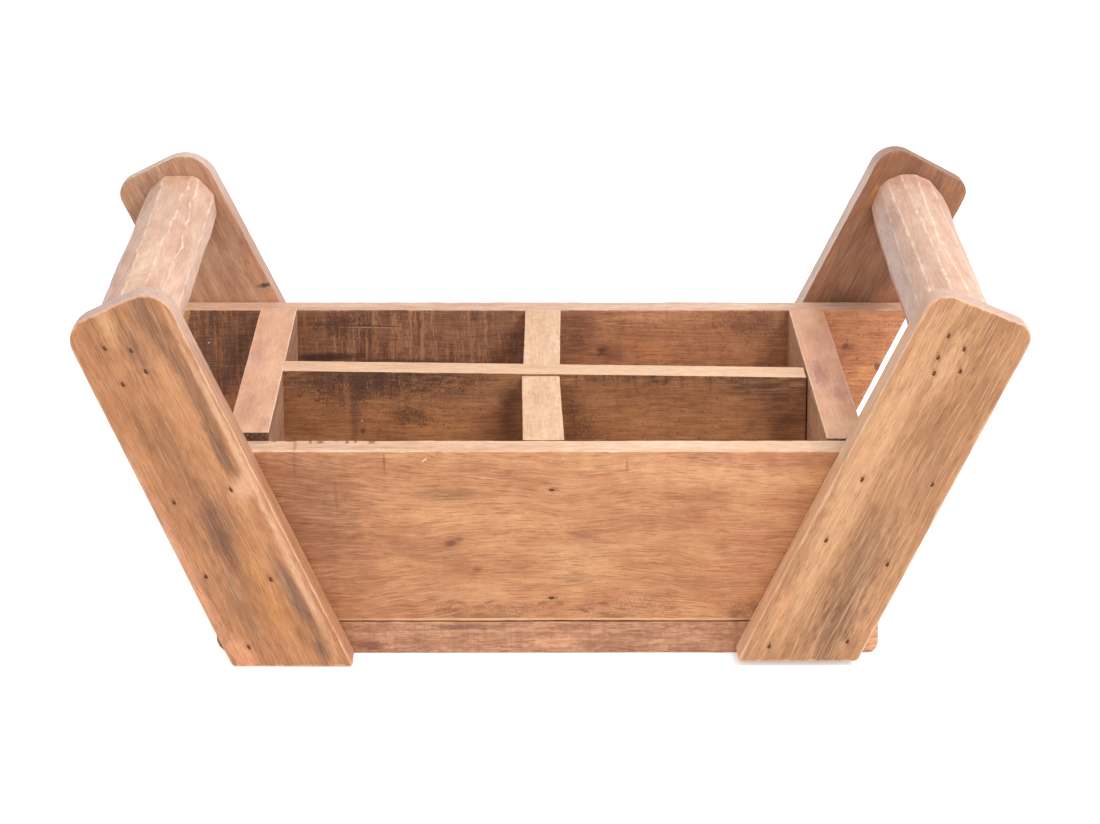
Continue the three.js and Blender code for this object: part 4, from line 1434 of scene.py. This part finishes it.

# %% [markdown]
# ### The legs
# The four legs come from different boards. The left front one has broad dark and orange
# streaks, the right front one is more even, with fine pale flecks. Each leg has its tones, its
# stains and how strong its flecks are. The narrow sides have tones of their own, and each top
# has another where the end grain is worn, laid on as one soft stain across the top. The sides
# of the two right legs, which the lamp leaves in shade, are painted far paler than their faces:
# painted light. The pale line along the arrises of the front legs is partly wear and partly
# painted highlight.

# %% Dress the legs
LEG_TOP, TOP_ACROSS = (108, 0), 300
LEGS = {
    "leg_front_left": ([(139, 89, 54), (175, 117, 73), (189, 129, 83), (201, 141, 95)], [
        ((206, 146, 98), 0.6, (40, -12), (90, 9), 0, 0.3, 0.8),
        ((112, 72, 48), 0.7, (88, -13), (34, 8.5), 2, 0.35, 0.8),
        ((122, 80, 54), 0.7, (48, -17), (50, 3.6), 1, 0.35, 0.8),
        ((112, 76, 58), 0.6, (76, -1), (22, 7), 4, 0.5, 0.9),
        ((220, 170, 126), 0.6, (92, 5), (16, 5), 0, 0.5, 0.9),
        ((104, 68, 48), 0.75, (14, -16), (22, 4.4), 3, 0.4, 0.8),
        ((150, 100, 64), 0.6, (20, 6), (70, 12), 0, 0.5, 0.9),
        ((240, 192, 156), 0.6, (20, -23), (90, 2.8), 0, 0.25, 0.8),
        ((232, 180, 146), 0.7, (-8, -18), (9, 11), 60, 0.5, 0.9),
        ((106, 68, 48), 0.8, (-26, 2), (36, 11), -4, 0.4, 0.85),
        ((138, 92, 62), 0.6, (-60, 10), (50, 8), 0, 0.5, 0.9),
        ((210, 146, 84), 0.6, (-64, -5), (52, 9), 2, 0.35, 0.85),
        ((112, 80, 64), 0.75, (-70, -16.5), (38, 5.4), 2, 0.3, 0.8),
        ((96, 68, 56), 0.7, (-99, -16), (10, 5), 0, 0.4, 0.9),
        ((232, 180, 142), 0.7, (-60, -22), (56, 3.2), 0, 0.25, 0.8),
        ((236, 170, 132), 0.5, (-40, 24), (96, 4), 0, 0.3, 0.8),
        ((240, 168, 126), 0.7, (-88, 20), (26, 8), 0, 0.4, 0.9),
    ], 0.14),
    "leg_front_right": ([(158, 108, 71), (177, 126, 83), (184, 133, 92), (192, 144, 102)], [
        ((218, 166, 122), 0.65, (0, 16), (112, 10), 1, 0.2, 0.5),
        ((222, 164, 112), 0.5, (56, 22), (44, 2.8), 0, 0.4, 0.9),
        ((132, 92, 62), 0.7, (-44, -6), (50, 15), 0, 0.5, 0.9),
        ((108, 70, 44), 0.7, (-78, -9), (32, 14), 4, 0.6, 0.9),
        ((150, 105, 74), 0.45, (16, -12), (40, 9), 2, 0.5, 0.9),
        ((235, 184, 140), 0.5, (66, 4), (26, 7), 0, 0.6, 0.9),
        ((132, 89, 61), 0.5, (78, -8), (16, 1.8), 0, 0.6, 0.8),
        ((226, 164, 112), 0.5, (-80, 19), (26, 4), 0, 0.4, 0.9),
    ], 0.22),
    "leg_back_left": ([(159, 114, 88), (186, 140, 110), (204, 159, 128)], [
        ((204, 142, 100), 0.6, (28, -22), (16, 6), 4, 0.5, 0.9),
        ((62, 38, 30), 0.9, (13.4, -22.8), (5.4, 1.8), 74, 0.3, 0.6),
        ((232, 160, 112), 0.7, (6, -23.5), (4, 2.4), 0, 0.3, 0.6),
        ((150, 104, 78), 0.5, (60, -14), (40, 6), 0, 0.7, 0.9),
        ((142, 100, 76), 0.5, (92, 6), (10, 16), 30, 0.8, 0.9),
    ], 0.15),
    "leg_back_right": ([(123, 81, 54), (148, 99, 68), (168, 116, 82)], [
        ((88, 54, 37), 0.6, (8, 6), (14, 26), 0, 0.5, 0.9),
        ((218, 150, 86), 0.65, (72, 19), (11, 3.6), 0, 0.5, 0.9),
        ((122, 80, 58), 0.45, (92, 4), (12, 16), 0, 0.6, 0.9),
        ((196, 132, 92), 0.45, (20, -14), (16, 6), 0, 0.7, 0.9),
    ], 0.12),
}
EDGE_LOOKS = {
    "leg_front_left": ([(170, 116, 82), (190, 136, 100), (208, 158, 124)], (224, 190, 174), 60),
    # painted light: the sides of this leg, which the lamp leaves in shade, are far paler than its face
    "leg_front_right": ([(238, 182, 140), (248, 200, 160), (255, 218, 184)], (212, 178, 162), 46),
    "leg_back_left": ([(184, 136, 110), (204, 156, 130), (220, 180, 158)], (232, 208, 194), 70),
    # painted light: the sides of this leg, which the lamp leaves in shade, are far paler than its face
    "leg_back_right": ([(240, 208, 188), (248, 218, 200), (255, 230, 214)], (150, 104, 80), 34),
}
for number, (name, (tones, stains, streaks)) in enumerate(LEGS.items()):
    front = "front" in name
    face = wood(
        f"{name}_face", name, tones, seed=41.0 + 3 * number, ring_gap=9.0, pore_length=6.0, pore_share=0.55,
        pores=0.32, fibre=0.15, clouds=0.5, cloud_size=(28.0, 8.0, 8.0), mottle=0.25,
        mottle_size=(8.0, 4.0, 4.0), wander=4.0, stains=stains, marks=nail_smudges(name),
        arris=0.5 if front else 0.0, arris_tone=(244, 200, 168), streaks=streaks,
        streak_tone=(236, 192, 150),
    )
    edge_tones, top_tone, top_reach = EDGE_LOOKS[name]
    edge = wood(
        f"{name}_edge", name, edge_tones, seed=42.0 + 3 * number, fibre=0.2, pores=0.15, mottle=0.25,
        stains=[(top_tone, 0.9, LEG_TOP, (top_reach, TOP_ACROSS), 0, 0.1, 0.9)],
    )
    dress(name, {"usual": face, "upper": edge, "lower": edge, "far_end": edge})

# %% [markdown]
# ### The handles
# The handles are among the palest wood, rubbed smooth by hands. Their ridges are paler still,
# partly from wear and partly as painted highlight. The side turned away from the lamp is painted
# greyer and pinker, as painted shade, and a pale stain along part of the top of each is painted
# light. The clouds and the mottling are long and thin, because each stroke of the knife bared a
# strip of other wood.

# %% Dress the handles
HANDLE_TONES = {
    "handle_left": [(213, 163, 136), (229, 185, 158), (239, 198, 171)],
    "handle_right": [(211, 163, 138), (226, 183, 158), (235, 196, 169)],
}
HANDLE_STAINS_SHADE_AND_LIGHT = {
    "handle_left": [
        # painted shade: the side turned away from the lamp, greyer and pinker
        ((196, 164, 156), 0.75, (-20, 4, -22), (180, 18, 10), 0, 0.3, 0.7),
        ((236, 178, 132), 0.6, (142, 20, -3), (24, 12, 10), 0, 0.5, 0.9),
        ((212, 160, 146), 0.6, (132, 8, 19), (20, 12, 8), 0, 0.5, 0.9),
        ((222, 172, 152), 0.5, (30, 18, 8), (60, 8, 7), 0, 0.8, 0.9),
        # painted light: a pale stain along the top
        ((250, 216, 178), 0.7, (-70, 20, -2), (90, 9, 6), 0, 0.6, 0.9),
    ],
    "handle_right": [
        # painted shade: the side turned away from the lamp, greyer and pinker
        ((224, 192, 180), 0.7, (0, 2, -22), (190, 18, 12), 0, 0.3, 0.7),
        ((222, 184, 160), 0.5, (-60, 10, 20), (80, 12, 9), 0, 0.4, 0.7),
        ((204, 130, 118), 0.75, (138, 19, 8), (16, 10, 8), 0, 0.4, 0.9),
        ((224, 176, 158), 0.5, (60, 12, 18), (60, 12, 8), 0, 0.7, 0.9),
        # painted light: a pale stain along the top
        ((246, 208, 172), 0.5, (40, 21, 2), (70, 6, 7), 0, 0.7, 0.9),
    ],
}
HANDLE_MARKS = {
    "handle_left": [
        ((140, 96, 78), 0.5, (-84, 12, 16), (1.2, 2, 1.2), 0, 0.3, 0.8),
    ],
    "handle_right": [
        ((128, 86, 70), 0.6, (-33, 15, 15), (0.45, 9, 9), 0, 0.05, 0.7),
        ((130, 90, 76), 0.5, (8, 19, -9), (1.6, 2, 1.2), 0, 0.3, 0.8),
        ((150, 112, 100), 0.5, (-28, 6, -20), (3, 3, 2), 0, 0.3, 0.8),
    ],
}
for number, (name, tones) in enumerate(HANDLE_TONES.items()):
    # the pale line along the ridges is partly wear and partly painted highlight
    hewn = wood(
        f"{name}_hewn", name, tones, seed=61.0 + number, fibre=0.12, pores=0.06, mottle=0.35, clouds=0.6,
        mottle_size=(26.0, 5.0, 5.0), mottle_tint=(214, 180, 166), cloud_size=(60.0, 9.0, 9.0),
        stains=HANDLE_STAINS_SHADE_AND_LIGHT[name], marks=HANDLE_MARKS[name], arris=0.65, arris_reach=0.28,
        arris_ragged=0.6, arris_tone=(252, 228, 204), roughness=0.42,
    )
    dress(name, {"usual": hewn})

# %% [markdown]
# ## Nail holes
# The nails were punched in, and the wood has since split and rotted a little along the grain,
# so that what shows is a dark slot with a nail head deep inside. A drawn spot would be flat, so
# each hole is really cut: a slot at the surface that narrows to a round hole for the nail. The
# same cutter, joined for all the nails of a piece, is taken away with one boolean.

# %% Shape the holes
SLOT_HALF, SLOT_WIDTH, SLOT_DEEP = 1.6, 0.74, 1.2
SLOT_TURN, SLOT_UNEVEN, SLOT_TAPER = 0.25, 0.6, 0.9
PAST_SURFACE, UNDER_SURFACE = 1.5, 0.3
NAIL_ROOM = 0.25
NAIL_PUNCH = 1.5
HOLE_SIDES = 12
SPECKS = (900.0, 900.0, 900.0)
# painted light: the hole walls are paler than the wood, against the shade deep in each hole
hole_wall_painted_light, tree, shader = new_material("nail_hole")
specks = cloud(tree, object_place(tree), SPECKS)
feed(tree, ring_colours(tree, specks, [(176, 122, 90), (232, 180, 142)]), shader.inputs["Base Color"])
feed(tree, spread(tree, specks, 0.3, 0.7, 0.75, 0.95), shader.inputs["Roughness"])


def hole_rings(nail, along, seed):
    """Rings of points for the hole of one nail, from past its point to outside the wood."""
    points = node_points(nail)
    low, high = points.min(axis=0), points.max(axis=0)
    axis = int(np.argmax(high - low))
    middle = (low + high) / 2
    outward = np.zeros(3)
    outward[axis] = -1 if axis == 2 else math.copysign(1, middle[axis])
    half = (high - low)[axis] / 2
    round_hole = (high - low)[(axis + 1) % 3] / 2 + NAIL_ROOM
    long_way = along - outward * (along @ outward)
    long_way /= np.linalg.norm(long_way)
    turn = Matrix.Rotation(SLOT_TURN * noise.noise((seed * 3.7, 0, 0)), 3, Vector(outward))
    long_way = np.array(turn @ Vector(long_way))
    wide_way = np.cross(outward, long_way)
    slot = SLOT_HALF * (1 + SLOT_UNEVEN * noise.noise((seed * 1.9, 5, 0)))
    surface = half + NAIL_PUNCH
    steps = (
        (-half - NAIL_ROOM, round_hole, round_hole),
        (surface - SLOT_DEEP, round_hole, round_hole),
        (surface - UNDER_SURFACE, slot * SLOT_TAPER, SLOT_WIDTH),
        (surface + PAST_SURFACE, slot, SLOT_WIDTH),
    )
    angles = np.linspace(0, 2 * math.pi, HOLE_SIDES, endpoint=False)[:, None]
    return [
        middle + outward * away + np.cos(angles) * long_way * one + np.sin(angles) * wide_way * two
        for away, one, two in steps
    ]


print("slot", 2 * SLOT_HALF, "mm long, then a round hole of the nail's size")

# %% [markdown]
# ### Cut them
# The cutter has the same list of materials as the piece, with the wood inside the holes added
# at the end, so that the boolean gives the walls of each hole their own finish and leaves the
# rest as it was. That finish is paler than the wood round it, as painted light, so that the
# shade deep in a narrow hole comes out dark brown rather than black.

# %% Cut the nail holes
SHARP = 40


def cutter_of(name):
    """One mesh with the holes of all the nails of a piece, in metres."""
    points, faces = [], []
    for number, nail in enumerate(nails_of(name)):
        rings = hole_rings(nail, GRAIN[name][1], number + len(name))
        faces += tube_faces(len(rings), HOLE_SIDES, len(points) * HOLE_SIDES)
        points += rings
    mesh = bpy.data.meshes.new("cutter")
    mesh.from_pydata(np.concatenate(points) * MM, [], faces)
    return mesh


def cut_holes(name):
    """Takes the holes of all its nails out of one piece."""
    piece = wood_pieces[name]
    mesh = cutter_of(name)
    piece.data.materials.append(hole_wall_painted_light)
    for material in piece.data.materials:
        mesh.materials.append(material)
    mesh.polygons.foreach_set("material_index", [len(mesh.materials) - 1] * len(mesh.polygons))
    cutter = bpy.data.objects.new("cutter", mesh)
    bpy.context.scene.collection.objects.link(cutter)
    cut = piece.modifiers.new("holes", "BOOLEAN")
    cut.operation = "DIFFERENCE"
    cut.solver = "MANIFOLD"
    cut.object = cutter
    solid = piece.evaluated_get(bpy.context.evaluated_depsgraph_get())
    piece.modifiers.clear()
    piece.data = bpy.data.meshes.new_from_object(solid)
    piece.data.set_sharp_from_angle(angle=math.radians(SHARP))
    bpy.data.objects.remove(cutter)


for name in wood_pieces:
    if nails_of(name):
        cut_holes(name)
    print(name, "holes", len(nails_of(name)))

# %% [markdown]
# ## The nails
# The nails are steel gone dark with age. Only their heads can be seen, down in the holes, but
# each nail is its own piece and gets a finish all the same: rust-brown bloom over dull grey.

# %% Finish the nails
RUST_SPECKS = (700.0, 700.0, 700.0)
RUST_RAISED = 0.05 * MM
steel, tree, shader = new_material("old_nail_steel")
rust = spread(tree, cloud(tree, object_place(tree), RUST_SPECKS, 4.0, 0.6), 0.4, 0.6)
feed(tree, ring_colours(tree, rust, [(120, 104, 94), (156, 104, 72)]), shader.inputs["Base Color"])
feed(tree, spread(tree, rust, 0.0, 1.0, 0.8, 0.1), shader.inputs["Metallic"])
feed(tree, spread(tree, rust, 0.0, 1.0, 0.45, 0.85), shader.inputs["Roughness"])
add_bump(tree, shader, rust, RUST_RAISED, 1.0)
nails = [piece for name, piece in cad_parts.items() if name.startswith("nail")]
for piece in nails:
    piece.material_slots[0].material = steel
print("nails finished", len(nails))
